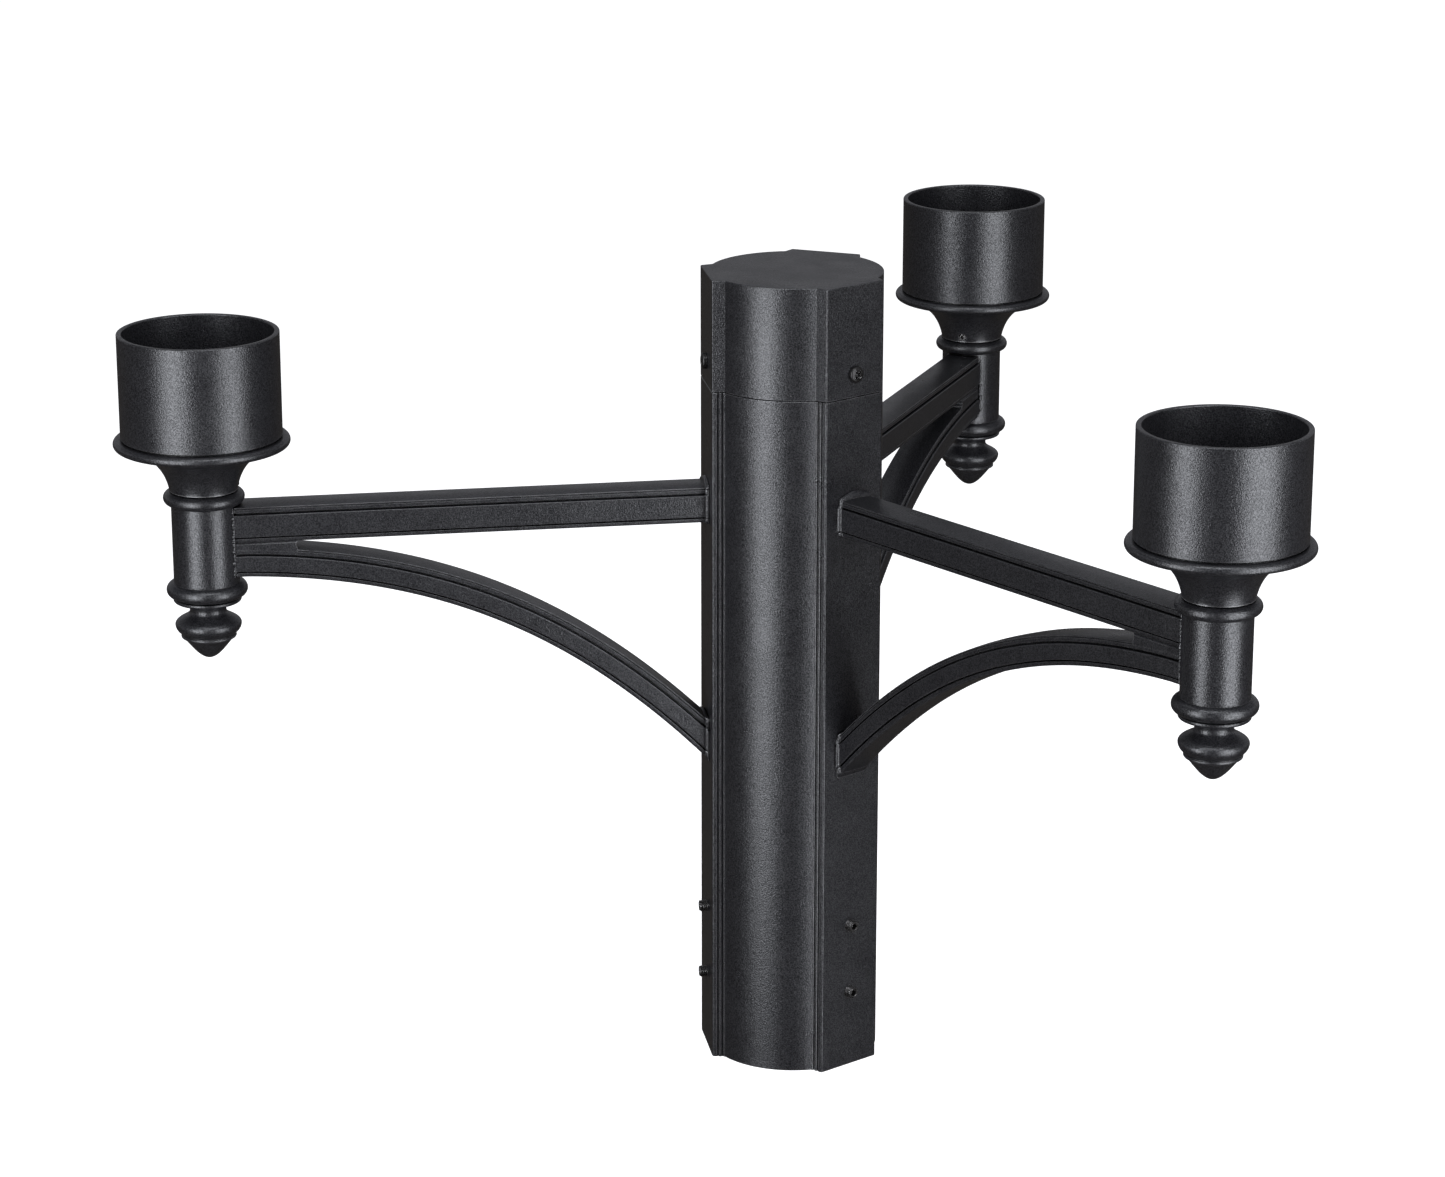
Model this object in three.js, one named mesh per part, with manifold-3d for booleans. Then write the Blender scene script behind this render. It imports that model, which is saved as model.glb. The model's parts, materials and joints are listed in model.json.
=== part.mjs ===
// Three-arm lamp post head: a column that slips over the top of a round post, a screwed
// cap that closes it, and three bracket arms that each carry a lantern cup.
//
// Millimetres, +Z up. The origin is the centre of the post stop's underside, where the
// top of the post ends. Arm 1 points along +Y, and arms 2 and 3 follow at 120 degrees.
// Inside an arm's group +X points away from the column; inside a cup's group the origin
// is the centre of the cup's rim, so everything under the rim has a negative height.

import * as THREE from 'three';
import { mergeVertices } from 'three/addons/utils/BufferGeometryUtils.js';
import Module from 'manifold-3d';

const wasm = await Module();
wasm.setup();

// ---------- driving dimensions ----------

const CLEARANCE = 0.3; // gap between two pieces that touch on the real object

// Layout
const ARM_ANGLES = [90, 210, 330]; // degrees about +Z
const CUP_AXIS_X = 284; // column axis to cup axis
const RIM_Z = 236; // cup rims

// Column
const COLUMN_BOTTOM_Z = -140; // the post goes in 140 up to the stop
const COLUMN_TOP_Z = 201;
const LOBE_RADIUS = 42; // round part between two facets
const BORE_RADIUS = 38.6; // fits a post of 76.2 outside diameter
const FACET_X = 43.4; // column axis to the flat facet behind an arm
const FACET_HALF_WIDTH = 17.5;
const SHOULDER_ANGLE = 27; // where a facet's shoulder meets the round part
const BODY_CORNER_RADIUS = 1.2;
const GROOVE_PLACE = 0.62; // of the way from the facet to the round part
const GROOVE_WIDTH = 1.4;
const GROOVE_DEPTH = 0.7;

// Cap
const CAP_BOTTOM_Z = 201.6;
const CAP_TOP_Z = 255.5;
const CAP_PLATE = 5;
const CAP_CORNER_RADIUS = 1.8;
const CAP_EDGE = 0.8; // chamfer round the top
const CAP_POCKET_RADIUS = 39.2;
const CAP_SCREW_Z = 212.5;

// Pieces pressed into the column
const PRESSED_RADIUS = BORE_RADIUS - CLEARANCE;
const STOP_THICKNESS = 6;
const WIRE_HOLE_RADIUS = 8;
const WIRE_HOLE_CIRCLE = 23;
const SPIGOT_BOTTOM_Z = 172;
const SPIGOT_TOP_Z = 227;
const SPIGOT_NECK_RADIUS = 37.8; // the part inside the cap
const SPIGOT_BORE_RADIUS = 34;

// Arm, heights from the rim
const BAR_TOP = -83.5;
const BAR_DEPTH = 18;
const WEB_START_X = 240; // closed end of the slot between bar and brace
const WIRE_BORE_Z = -93.2;
const WIRE_BORE_RADIUS = 3.5;
const PANEL_HALF_WIDTH = 9.5;
const BEAD_HALF_WIDTH = 8.7; // strip along the top and bead along the bottom
const CORE_HALF_WIDTH = 8.1; // bottom of the groove under the strip
const STRIP_DEPTH = 3.4;
const GROOVE_HEIGHT = 0.8;
const BEAD_DEPTH = 2.7;
const BRACE_DEPTH = 14.7;
const BRACE_START = new THREE.Vector2(CUP_AXIS_X, -110.5); // level here
const BRACE_START_REACH = 106.7;
const BRACE_END = new THREE.Vector2(43, -212.6);
const BRACE_END_REACH = 92;
const BRACE_END_ANGLE = 45.4; // degrees above the horizontal
const BRACE_STEPS = 12;
const WELD_SIZE = 1.4; // fillet round an arm's ends on the facet

// Stem stack under a cup, heights from the rim
const TUBE_RADIUS = 38.1;
const TUBE_WALL = 2.5;
const FLANGE_RADIUS = 41.7;
const FLANGE_TOP = -50.7;
const FLANGE_BOTTOM = -55.2;
const CUP_BOTTOM = -76.3;
const CUP_FLOOR = -70.5; // seat of the washer
const NECK_RADIUS = 16.2;
const SLEEVE_TOP = CUP_BOTTOM - CLEARANCE;
const SLEEVE_BOTTOM = -128.8;
const SLEEVE_RADIUS = 15.7;
const SLEEVE_WALL = 3.3;
const SLEEVE_END = 4.4; // thickness of its two end walls
const COLLAR_RADIUS = 19.3;
const UPPER_COLLAR_HEIGHT = 6.6;
const LOWER_COLLAR_HEIGHT = 7.1;
const FINIAL_TOP = SLEEVE_BOTTOM - CLEARANCE;
const FINIAL_TIP = -159.7;
const STEM_RADIUS = 4.9;
const STEM_BORE_RADIUS = 3.2;
const STEM_TOP = -58.5;
const STEM_BOTTOM = -140;
const STEM_HOLE_RADIUS = STEM_RADIUS + CLEARANCE;

// Fasteners
const SET_SCREW_RADIUS = 3;
const SET_SCREW_LENGTH = 8;
const SET_SCREW_PROUD = 3.8;
const SET_SCREW_HEX = 3;
const SET_SCREW_HEIGHTS = [-101, -66];
const CAP_SCREW_RADIUS = 2;
const CAP_SCREW_LENGTH = 5;
const CAP_SCREW_HEAD_RADIUS = 3.9;
const CAP_SCREW_HEAD_HEIGHT = 2.4;
const NECK_SCREW_Z = -73.4;
const NECK_SCREW_RADIUS = 2;
const NECK_SCREW_LENGTH = 7.5;
const NECK_SCREW_FACE = 16.8; // outer end, from the cup's axis
const NECK_SCREW_HEX = 2;
const NUT_ACROSS_FLATS = 17;
const NUT_THICKNESS = 5;
const WASHER_RADIUS = 10;
const WASHER_THICKNESS = 1.6;

// ---------- materials ----------

function paint(name, color, roughness, metalness) {
  return new THREE.MeshStandardMaterial({ name, color, roughness, metalness });
}

const POWDER_COAT = paint('powder_coat', 0x1f1f21, 0.55, 0.1);
const BARE_ALUMINIUM = paint('bare_aluminium', 0x9a9c9e, 0.45, 0.9);
const BLACK_STEEL = paint('black_steel', 0x24211e, 0.35, 0.85);
const ZINC_STEEL = paint('zinc_steel', 0xa9abad, 0.35, 0.9);

// ---------- solids ----------

// A solid from a closed geometry: shared corners merged and slivers of no area left out.
function solid(geometry) {
  const bare = new THREE.BufferGeometry();
  bare.setAttribute('position', geometry.getAttribute('position'));
  bare.setIndex(geometry.index);
  const merged = mergeVertices(bare, 1e-4);
  const corners = merged.index.array;
  const kept = [];
  for (let i = 0; i < corners.length; i += 3) {
    const [a, b, c] = corners.slice(i, i + 3);
    if (a !== b && b !== c && c !== a) kept.push(a, b, c);
  }
  return new wasm.Manifold(new wasm.Mesh({
    numProp: 3,
    vertProperties: new Float32Array(merged.getAttribute('position').array),
    triVerts: new Uint32Array(kept),
  }));
}

function geometryOf(manifold) {
  const { vertProperties, triVerts } = manifold.getMesh();
  const geometry = new THREE.BufferGeometry();
  geometry.setAttribute('position', new THREE.BufferAttribute(vertProperties, 3));
  geometry.setIndex(new THREE.BufferAttribute(triVerts, 1));
  geometry.computeVertexNormals();
  return geometry;
}

function join(geometries) {
  return geometries.map(solid).reduce((sum, next) => sum.add(next));
}

function cut(manifold, tools) {
  return tools.map(solid).reduce((rest, tool) => rest.subtract(tool), manifold);
}

// An outline in the XY plane pushed up along Z.
function prism(outline, bottom, top, holes = []) {
  const shape = new THREE.Shape(outline);
  shape.holes = holes.map((points) => new THREE.Path(points));
  const geometry = new THREE.ExtrudeGeometry(shape, { depth: top - bottom, bevelEnabled: false });
  return geometry.translate(0, 0, bottom);
}

// A side view in the XZ plane, pushed out to the same distance on both sides of it.
function slab(outline, halfWidth) {
  return prism(outline, -halfWidth, halfWidth).rotateX(Math.PI / 2);
}

// A profile of radius and height, turned about Z. Its points run counter-clockwise.
function turned(profile, segments) {
  return new THREE.LatheGeometry(profile, segments).rotateX(Math.PI / 2);
}

function rod(radius, from, to, segments) {
  const geometry = new THREE.CylinderGeometry(radius, radius, to - from, segments);
  return geometry.rotateX(Math.PI / 2).translate(0, 0, (from + to) / 2);
}

// The same rod lying along +X at a height.
function rodAlongX(radius, from, to, height, segments) {
  return rod(radius, from, to, segments).rotateY(Math.PI / 2).translate(0, 0, height);
}

// ---------- outlines ----------

function arc(center, radius, fromDegrees, toDegrees, steps) {
  const points = [];
  for (let i = 0; i <= steps; i += 1) {
    const angle = THREE.MathUtils.degToRad(fromDegrees + ((toDegrees - fromDegrees) * i) / steps);
    points.push(new THREE.Vector2(
      center.x + radius * Math.cos(angle),
      center.y + radius * Math.sin(angle),
    ));
  }
  return points;
}

function circle(x, y, radius, segments) {
  const points = arc(new THREE.Vector2(x, y), radius, 0, 360, segments);
  return points.slice(0, -1);
}

function polygon(radius, sides, turn) {
  return arc(new THREE.Vector2(), radius, turn, turn + 360, sides).slice(0, -1);
}

function rectangle(left, right, bottom, top) {
  return [[left, bottom], [right, bottom], [right, top], [left, top]]
    .map(([x, y]) => new THREE.Vector2(x, y));
}

function profileOf(pairs) {
  return pairs.map(([radius, height]) => new THREE.Vector2(radius, height));
}

function turnPoints(points, degrees) {
  const angle = THREE.MathUtils.degToRad(degrees);
  return points.map((point) => point.clone().rotateAround(new THREE.Vector2(), angle));
}

// V-groove that runs up the middle of a facet's shoulder.
function shoulderGroove(shoulderStart, shoulderEnd) {
  const along = shoulderEnd.clone().sub(shoulderStart).normalize();
  const inward = new THREE.Vector2(-along.y, along.x);
  const middle = shoulderStart.clone().lerp(shoulderEnd, GROOVE_PLACE);
  return [
    middle.clone().addScaledVector(along, -GROOVE_WIDTH / 2),
    middle.clone().addScaledVector(inward, GROOVE_DEPTH),
    middle.clone().addScaledVector(along, GROOVE_WIDTH / 2),
  ];
}

// Half of a facet, from its rounded corner to the start of the lobe that follows it.
function facetHalf(cornerRadius, grooved) {
  const corner = new THREE.Vector2(FACET_X, FACET_HALF_WIDTH);
  const shoulderAngle = THREE.MathUtils.degToRad(SHOULDER_ANGLE);
  const shoulderEnd = new THREE.Vector2(Math.cos(shoulderAngle), Math.sin(shoulderAngle))
    .multiplyScalar(LOBE_RADIUS);
  const along = shoulderEnd.clone().sub(corner).normalize();
  const turn = THREE.MathUtils.radToDeg(Math.atan2(along.x * -1, along.y)); // shoulder's normal
  const inset = cornerRadius * Math.tan(THREE.MathUtils.degToRad(turn / 2));
  const centre = new THREE.Vector2(FACET_X - cornerRadius, FACET_HALF_WIDTH - inset);
  const rounded = arc(centre, cornerRadius, 0, turn, 2);
  return grooved ? [...rounded, ...shoulderGroove(corner, shoulderEnd)] : rounded;
}

// Cross-section of the column: three facets, and three lobes on one circle.
function columnOutline(cornerRadius, grooved) {
  const half = facetHalf(cornerRadius, grooved);
  const mirrored = half.map((point) => new THREE.Vector2(point.x, -point.y)).reverse();
  const lobe = arc(new THREE.Vector2(), LOBE_RADIUS, SHOULDER_ANGLE, 120 - SHOULDER_ANGLE, 10);
  return ARM_ANGLES.flatMap((angle) => turnPoints([...mirrored, ...half, ...lobe], angle));
}

// ---------- column ----------

function atEachFacet(makeTool) {
  return ARM_ANGLES.map((angle) => makeTool().rotateZ(THREE.MathUtils.degToRad(angle)));
}

function makeColumnBody() {
  const bore = circle(0, 0, BORE_RADIUS, 60);
  const outline = columnOutline(BODY_CORNER_RADIUS, true);
  const tube = solid(prism(outline, COLUMN_BOTTOM_Z, COLUMN_TOP_Z, [bore]));
  const holes = SET_SCREW_HEIGHTS.map((height) => [height, SET_SCREW_RADIUS + CLEARANCE]);
  holes.push([RIM_Z + WIRE_BORE_Z, WIRE_BORE_RADIUS + 1]);
  const drills = holes.flatMap(([height, radius]) => (
    atEachFacet(() => rodAlongX(radius, 30, 50, height, 12))
  ));
  return cut(tube, drills);
}

function makeTopCap() {
  const shape = new THREE.Shape(columnOutline(CAP_CORNER_RADIUS, false));
  const block = new THREE.ExtrudeGeometry(shape, {
    depth: CAP_TOP_Z - CAP_BOTTOM_Z - 2 * CAP_EDGE,
    bevelThickness: CAP_EDGE,
    bevelSize: CAP_EDGE,
    bevelOffset: -CAP_EDGE,
    bevelSegments: 1,
  }).translate(0, 0, CAP_BOTTOM_Z + CAP_EDGE);
  const pocket = rod(CAP_POCKET_RADIUS, CAP_BOTTOM_Z - 1, CAP_TOP_Z - CAP_PLATE, 60);
  const drills = atEachFacet(() => (
    rodAlongX(CAP_SCREW_RADIUS + CLEARANCE, 30, 50, CAP_SCREW_Z, 12)
  ));
  return cut(solid(block), [pocket, ...drills]);
}

// Ring pressed into the top of the column; the cap slips over its upper half.
function makeCapSpigot() {
  return solid(turned(profileOf([
    [SPIGOT_BORE_RADIUS, SPIGOT_BOTTOM_Z],
    [PRESSED_RADIUS, SPIGOT_BOTTOM_Z],
    [PRESSED_RADIUS, COLUMN_TOP_Z - 1],
    [SPIGOT_NECK_RADIUS, COLUMN_TOP_Z],
    [SPIGOT_NECK_RADIUS, SPIGOT_TOP_Z],
    [SPIGOT_BORE_RADIUS, SPIGOT_TOP_Z],
    [SPIGOT_BORE_RADIUS, SPIGOT_BOTTOM_Z],
  ]), 36));
}

// Disc pressed into the column; the post's end bears on it and the wires pass through it.
function makePostStop() {
  const holes = [30, 150, 270].map((degrees) => {
    const angle = THREE.MathUtils.degToRad(degrees);
    const x = WIRE_HOLE_CIRCLE * Math.cos(angle);
    const y = WIRE_HOLE_CIRCLE * Math.sin(angle);
    return circle(x, y, WIRE_HOLE_RADIUS, 16);
  });
  return solid(prism(circle(0, 0, PRESSED_RADIUS, 48), 0, STOP_THICKNESS, holes));
}

// ---------- arm ----------

function braceCentreLine() {
  const angle = THREE.MathUtils.degToRad(BRACE_END_ANGLE);
  const slope = new THREE.Vector2(Math.cos(angle), Math.sin(angle));
  const curve = new THREE.CubicBezierCurve(
    BRACE_START,
    BRACE_START.clone().add(new THREE.Vector2(-BRACE_START_REACH, 0)),
    BRACE_END.clone().addScaledVector(slope, BRACE_END_REACH),
    BRACE_END,
  );
  const line = [];
  for (let i = 0; i <= BRACE_STEPS; i += 1) {
    const t = i / BRACE_STEPS;
    line.push({ point: curve.getPoint(t), along: curve.getTangent(t) });
  }
  const beyond = BRACE_END.clone().addScaledVector(slope, -14); // trimmed off at the facet
  line.push({ point: beyond, along: slope.clone().negate() });
  return line;
}

// One layer of the brace, between two depths under its upper edge.
function braceLayer(fromDepth, toDepth, halfWidth) {
  const line = braceCentreLine();
  const edge = (depth) => line.map(({ point, along }) => {
    const upward = new THREE.Vector2(along.y, -along.x);
    return point.clone().addScaledVector(upward, BRACE_DEPTH / 2 - depth);
  });
  return slab([...edge(fromDepth), ...edge(toDepth).reverse()], halfWidth);
}

// One layer of the bar, between two depths under its top.
function barLayer(fromDepth, toDepth, halfWidth) {
  return slab(rectangle(FACET_X, CUP_AXIS_X, BAR_TOP - toDepth, BAR_TOP - fromDepth), halfWidth);
}

// Strip, groove, raised panel and lower bead, from the top down.
function steppedSection(layer, depth) {
  const panelTop = STRIP_DEPTH + GROOVE_HEIGHT;
  return [
    layer(0, depth, CORE_HALF_WIDTH),
    layer(0, STRIP_DEPTH, BEAD_HALF_WIDTH),
    layer(panelTop, depth - BEAD_DEPTH, PANEL_HALF_WIDTH),
    layer(depth - BEAD_DEPTH - 0.1, depth, BEAD_HALF_WIDTH),
  ];
}

// The casting is solid between bar and brace near the sleeve.
function makeWeb() {
  const top = BAR_TOP - BAR_DEPTH + 2;
  return slab(rectangle(WEB_START_X, CUP_AXIS_X, BRACE_START.y, top), BEAD_HALF_WIDTH);
}

// Fillet of weld that runs round the end of a bar or brace on the facet.
function weldFoot(bottom, top) {
  const halfWidth = PANEL_HALF_WIDTH - 0.4;
  const shape = new THREE.Shape(rectangle(bottom, top, -halfWidth, halfWidth));
  return new THREE.ExtrudeGeometry(shape, {
    depth: 1,
    bevelThickness: WELD_SIZE,
    bevelSize: WELD_SIZE,
    bevelSegments: 1,
  }).rotateY(-Math.PI / 2).translate(FACET_X + 1, 0, 0);
}

function makeArm() {
  const overlap = 0.4;
  const braceRise = BRACE_DEPTH / 2 / Math.cos(THREE.MathUtils.degToRad(BRACE_END_ANGLE));
  const body = join([
    ...steppedSection(barLayer, BAR_DEPTH),
    ...steppedSection(braceLayer, BRACE_DEPTH),
    makeWeb(),
    weldFoot(BAR_TOP - BAR_DEPTH + overlap, BAR_TOP - overlap),
    weldFoot(BRACE_END.y - braceRise + overlap, BRACE_END.y + braceRise - overlap),
  ]);
  const column = slab(rectangle(0, FACET_X + CLEARANCE, -300, 0), 50);
  const sleeve = rod(SLEEVE_RADIUS + CLEARANCE, -200, 0, 36).translate(CUP_AXIS_X, 0, 0);
  const beyond = slab(rectangle(CUP_AXIS_X, CUP_AXIS_X + 1, -300, 0), 50);
  const wires = rodAlongX(WIRE_BORE_RADIUS, 0, CUP_AXIS_X, WIRE_BORE_Z, 12);
  return cut(body, [column, sleeve, beyond, wires]);
}

// ---------- stem stack ----------

// A half-round bead on a turned piece, bulging from one radius to a larger one.
function bead(bottom, top, innerRadius, outerRadius, steps) {
  const points = [];
  for (let i = 0; i <= steps; i += 1) {
    const angle = Math.PI * (i / steps);
    const height = (bottom + top) / 2 - ((top - bottom) / 2) * Math.cos(angle);
    points.push(new THREE.Vector2(
      innerRadius + (outerRadius - innerRadius) * Math.sin(angle),
      height,
    ));
  }
  return points;
}

// Outside of the bell between the cup's bottom and its flange.
function bellCurve(steps) {
  return new THREE.CubicBezierCurve(
    new THREE.Vector2(NECK_RADIUS, CUP_BOTTOM),
    new THREE.Vector2(NECK_RADIUS + 1.6, CUP_BOTTOM + 8.5),
    new THREE.Vector2(22.5, FLANGE_BOTTOM - 2.3),
    new THREE.Vector2(FLANGE_RADIUS - 3.2, FLANGE_BOTTOM),
  ).getPoints(steps);
}

function makeLanternCup() {
  const innerRadius = TUBE_RADIUS - TUBE_WALL;
  const shell = solid(turned([
    ...profileOf([[STEM_HOLE_RADIUS, CUP_BOTTOM]]),
    ...bellCurve(5),
    ...bead(FLANGE_BOTTOM, FLANGE_TOP, FLANGE_RADIUS - 1.2, FLANGE_RADIUS, 3),
    ...profileOf([
      [TUBE_RADIUS, FLANGE_TOP],
      [TUBE_RADIUS, -0.4],
      [TUBE_RADIUS - 0.4, 0],
      [innerRadius, 0],
      [innerRadius, FLANGE_TOP + 1],
      [22, FLANGE_BOTTOM - 1],
      [13, CUP_FLOOR + 6],
      [12, CUP_FLOOR],
      [STEM_HOLE_RADIUS, CUP_FLOOR],
      [STEM_HOLE_RADIUS, CUP_BOTTOM],
    ]),
  ], 30));
  const drill = rodAlongX(NECK_SCREW_RADIUS + CLEARANCE, -30, -2, NECK_SCREW_Z, 12);
  return cut(shell, [drill]);
}

function makeSocketSleeve() {
  const cavity = SLEEVE_RADIUS - SLEEVE_WALL;
  const upperCollar = SLEEVE_TOP - UPPER_COLLAR_HEIGHT;
  const lowerCollar = SLEEVE_BOTTOM + LOWER_COLLAR_HEIGHT;
  const shell = solid(turned([
    ...profileOf([[STEM_HOLE_RADIUS, SLEEVE_BOTTOM]]),
    ...bead(SLEEVE_BOTTOM, lowerCollar, SLEEVE_RADIUS, COLLAR_RADIUS, 4),
    ...bead(upperCollar, SLEEVE_TOP, SLEEVE_RADIUS, COLLAR_RADIUS, 4),
    ...profileOf([
      [STEM_HOLE_RADIUS, SLEEVE_TOP],
      [STEM_HOLE_RADIUS, SLEEVE_TOP - SLEEVE_END],
      [cavity, SLEEVE_TOP - SLEEVE_END],
      [cavity, SLEEVE_BOTTOM + SLEEVE_END],
      [STEM_HOLE_RADIUS, SLEEVE_BOTTOM + SLEEVE_END],
      [STEM_HOLE_RADIUS, SLEEVE_BOTTOM],
    ]),
  ], 24));
  const wireHole = rodAlongX(WIRE_BORE_RADIUS + 1, -30, -2, WIRE_BORE_Z, 12);
  return cut(shell, [wireHole]);
}

// Threaded tube that clamps cup, sleeve and finial together and carries the wires.
function makeStemTube() {
  const tube = solid(turned(profileOf([
    [STEM_BORE_RADIUS, STEM_BOTTOM],
    [STEM_RADIUS, STEM_BOTTOM],
    [STEM_RADIUS, STEM_TOP],
    [STEM_BORE_RADIUS, STEM_TOP],
    [STEM_BORE_RADIUS, STEM_BOTTOM],
  ]), 16));
  return cut(tube, [rodAlongX(STEM_BORE_RADIUS - 0.8, -10, 0, WIRE_BORE_Z, 8)]);
}

function makeStemNut() {
  const bottom = CUP_FLOOR + WASHER_THICKNESS + 2 * CLEARANCE;
  const hexagon = polygon(NUT_ACROSS_FLATS / Math.sqrt(3), 6, 0);
  const hole = circle(0, 0, STEM_HOLE_RADIUS, 16);
  return solid(prism(hexagon, bottom, bottom + NUT_THICKNESS, [hole]));
}

function makeStemWasher() {
  const bottom = CUP_FLOOR + CLEARANCE;
  const hole = circle(0, 0, STEM_HOLE_RADIUS, 16);
  return solid(prism(circle(0, 0, WASHER_RADIUS, 20), bottom, bottom + WASHER_THICKNESS, [hole]));
}

// Foot ring, cove, onion bulb, step ring and pointed tip.
function makeFinial() {
  const boreEnd = STEM_BOTTOM - 1.5;
  const tip = new THREE.QuadraticBezierCurve(
    new THREE.Vector2(0, FINIAL_TIP),
    new THREE.Vector2(5.5, FINIAL_TIP + 0.6),
    new THREE.Vector2(12, -149.6),
  ).getPoints(3);
  const bulb = new THREE.SplineCurve(profileOf([
    [12.8, -147.1],
    [15.4, -144.9],
    [15.8, -142.7],
    [13.9, -140.2],
    [10.8, -138.2],
    [8.8, -136],
    [9.4, -133.8],
    [13, -131.8],
  ])).getPoints(9);
  return solid(turned([
    ...tip,
    ...profileOf([[13, -149], [13, -147.6]]),
    ...bulb,
    ...bead(-131.4, FINIAL_TOP, 15.2, 16.2, 2),
    ...profileOf([[STEM_HOLE_RADIUS, FINIAL_TOP], [STEM_HOLE_RADIUS, boreEnd], [0, boreEnd]]),
  ], 20));
}

// ---------- screws ----------

// Headless screw along +X with a hexagon socket in its outer end.
function makeSocketScrew(radius, length, outerEnd, acrossFlats, height) {
  const body = rodAlongX(radius, outerEnd - length, outerEnd, height, 14);
  const socketDepth = radius;
  const socket = prism(polygon(acrossFlats / Math.sqrt(3), 6, 0), -socketDepth, 1)
    .rotateY(Math.PI / 2)
    .translate(outerEnd, 0, height);
  return cut(solid(body), [socket]);
}

function makeSetScrew(height) {
  const outerEnd = FACET_X + SET_SCREW_PROUD;
  return makeSocketScrew(SET_SCREW_RADIUS, SET_SCREW_LENGTH, outerEnd, SET_SCREW_HEX, height);
}

// The neck screw sits on the side of the cup that faces the column.
function makeNeckScrew() {
  const screw = makeSocketScrew(
    NECK_SCREW_RADIUS, NECK_SCREW_LENGTH, NECK_SCREW_FACE, NECK_SCREW_HEX, NECK_SCREW_Z,
  );
  return screw.rotate([0, 0, 180]);
}

// Pan-head screw along +X with a cross recess.
function makeCapScrew() {
  const headFoot = FACET_X + CLEARANCE;
  const headTop = headFoot + CAP_SCREW_HEAD_HEIGHT;
  const screw = turned(profileOf([
    [0, FACET_X - CAP_SCREW_LENGTH],
    [CAP_SCREW_RADIUS, FACET_X - CAP_SCREW_LENGTH],
    [CAP_SCREW_RADIUS, headFoot],
    [CAP_SCREW_HEAD_RADIUS, headFoot],
    [CAP_SCREW_HEAD_RADIUS, headFoot + 0.9],
    [CAP_SCREW_HEAD_RADIUS * 0.72, headTop - 0.3],
    [0, headTop],
  ]), 14).rotateY(Math.PI / 2).translate(0, 0, CAP_SCREW_Z);
  const slots = [45, 135].map((degrees) => (
    new THREE.BoxGeometry(2.6, 3.6, 0.9)
      .rotateX(THREE.MathUtils.degToRad(degrees))
      .translate(headTop, 0, CAP_SCREW_Z)
  ));
  return cut(solid(screw), slots);
}

// ---------- assembly ----------

function node(name, manifold, material) {
  const mesh = new THREE.Mesh(geometryOf(manifold), material);
  mesh.name = name;
  return mesh;
}

// Everything that repeats at each facet and is carried by the column or its cap.
function facetGroup(number, angle) {
  const group = new THREE.Group();
  group.rotation.z = THREE.MathUtils.degToRad(angle);
  group.add(node(`cap_screw_${number}`, makeCapScrew(), BLACK_STEEL));
  SET_SCREW_HEIGHTS.forEach((height, row) => {
    const name = `post_set_screw_${number}${row === 0 ? '_lower' : '_upper'}`;
    group.add(node(name, makeSetScrew(height), BLACK_STEEL));
  });
  const arm = node(`arm_${number}`, makeArm(), POWDER_COAT);
  arm.position.z = RIM_Z;
  group.add(arm);
  group.add(stemGroup(number));
  return group;
}

function stemGroup(number) {
  const group = new THREE.Group();
  group.position.set(CUP_AXIS_X, 0, RIM_Z);
  group.add(node(`lantern_cup_${number}`, makeLanternCup(), POWDER_COAT));
  group.add(node(`neck_screw_${number}`, makeNeckScrew(), BLACK_STEEL));
  group.add(node(`socket_sleeve_${number}`, makeSocketSleeve(), POWDER_COAT));
  group.add(node(`stem_tube_${number}`, makeStemTube(), ZINC_STEEL));
  group.add(node(`stem_nut_${number}`, makeStemNut(), ZINC_STEEL));
  group.add(node(`stem_washer_${number}`, makeStemWasher(), ZINC_STEEL));
  group.add(node(`finial_${number}`, makeFinial(), POWDER_COAT));
  return group;
}

const postHead = new THREE.Group();
postHead.add(node('column_body', makeColumnBody(), POWDER_COAT));
postHead.add(node('top_cap', makeTopCap(), POWDER_COAT));
postHead.add(node('cap_spigot', makeCapSpigot(), BARE_ALUMINIUM));
postHead.add(node('post_stop', makePostStop(), BARE_ALUMINIUM));
ARM_ANGLES.forEach((angle, index) => postHead.add(facetGroup(index + 1, angle)));

export default postHead;
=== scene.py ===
"""Looks of a three-arm lamp post head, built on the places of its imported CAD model.

Lengths are in millimetres until a mesh is placed, and +Z is up. Pieces that repeat at each arm
are shaped with +X pointing away from the column. Pieces of a cup's stack are shaped round the
cup's own axis, with heights counted from the cup's rim, as the arms' heights are.
"""

import json
import math

import bmesh
import bpy
from mathutils import Matrix, Vector, noise


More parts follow.
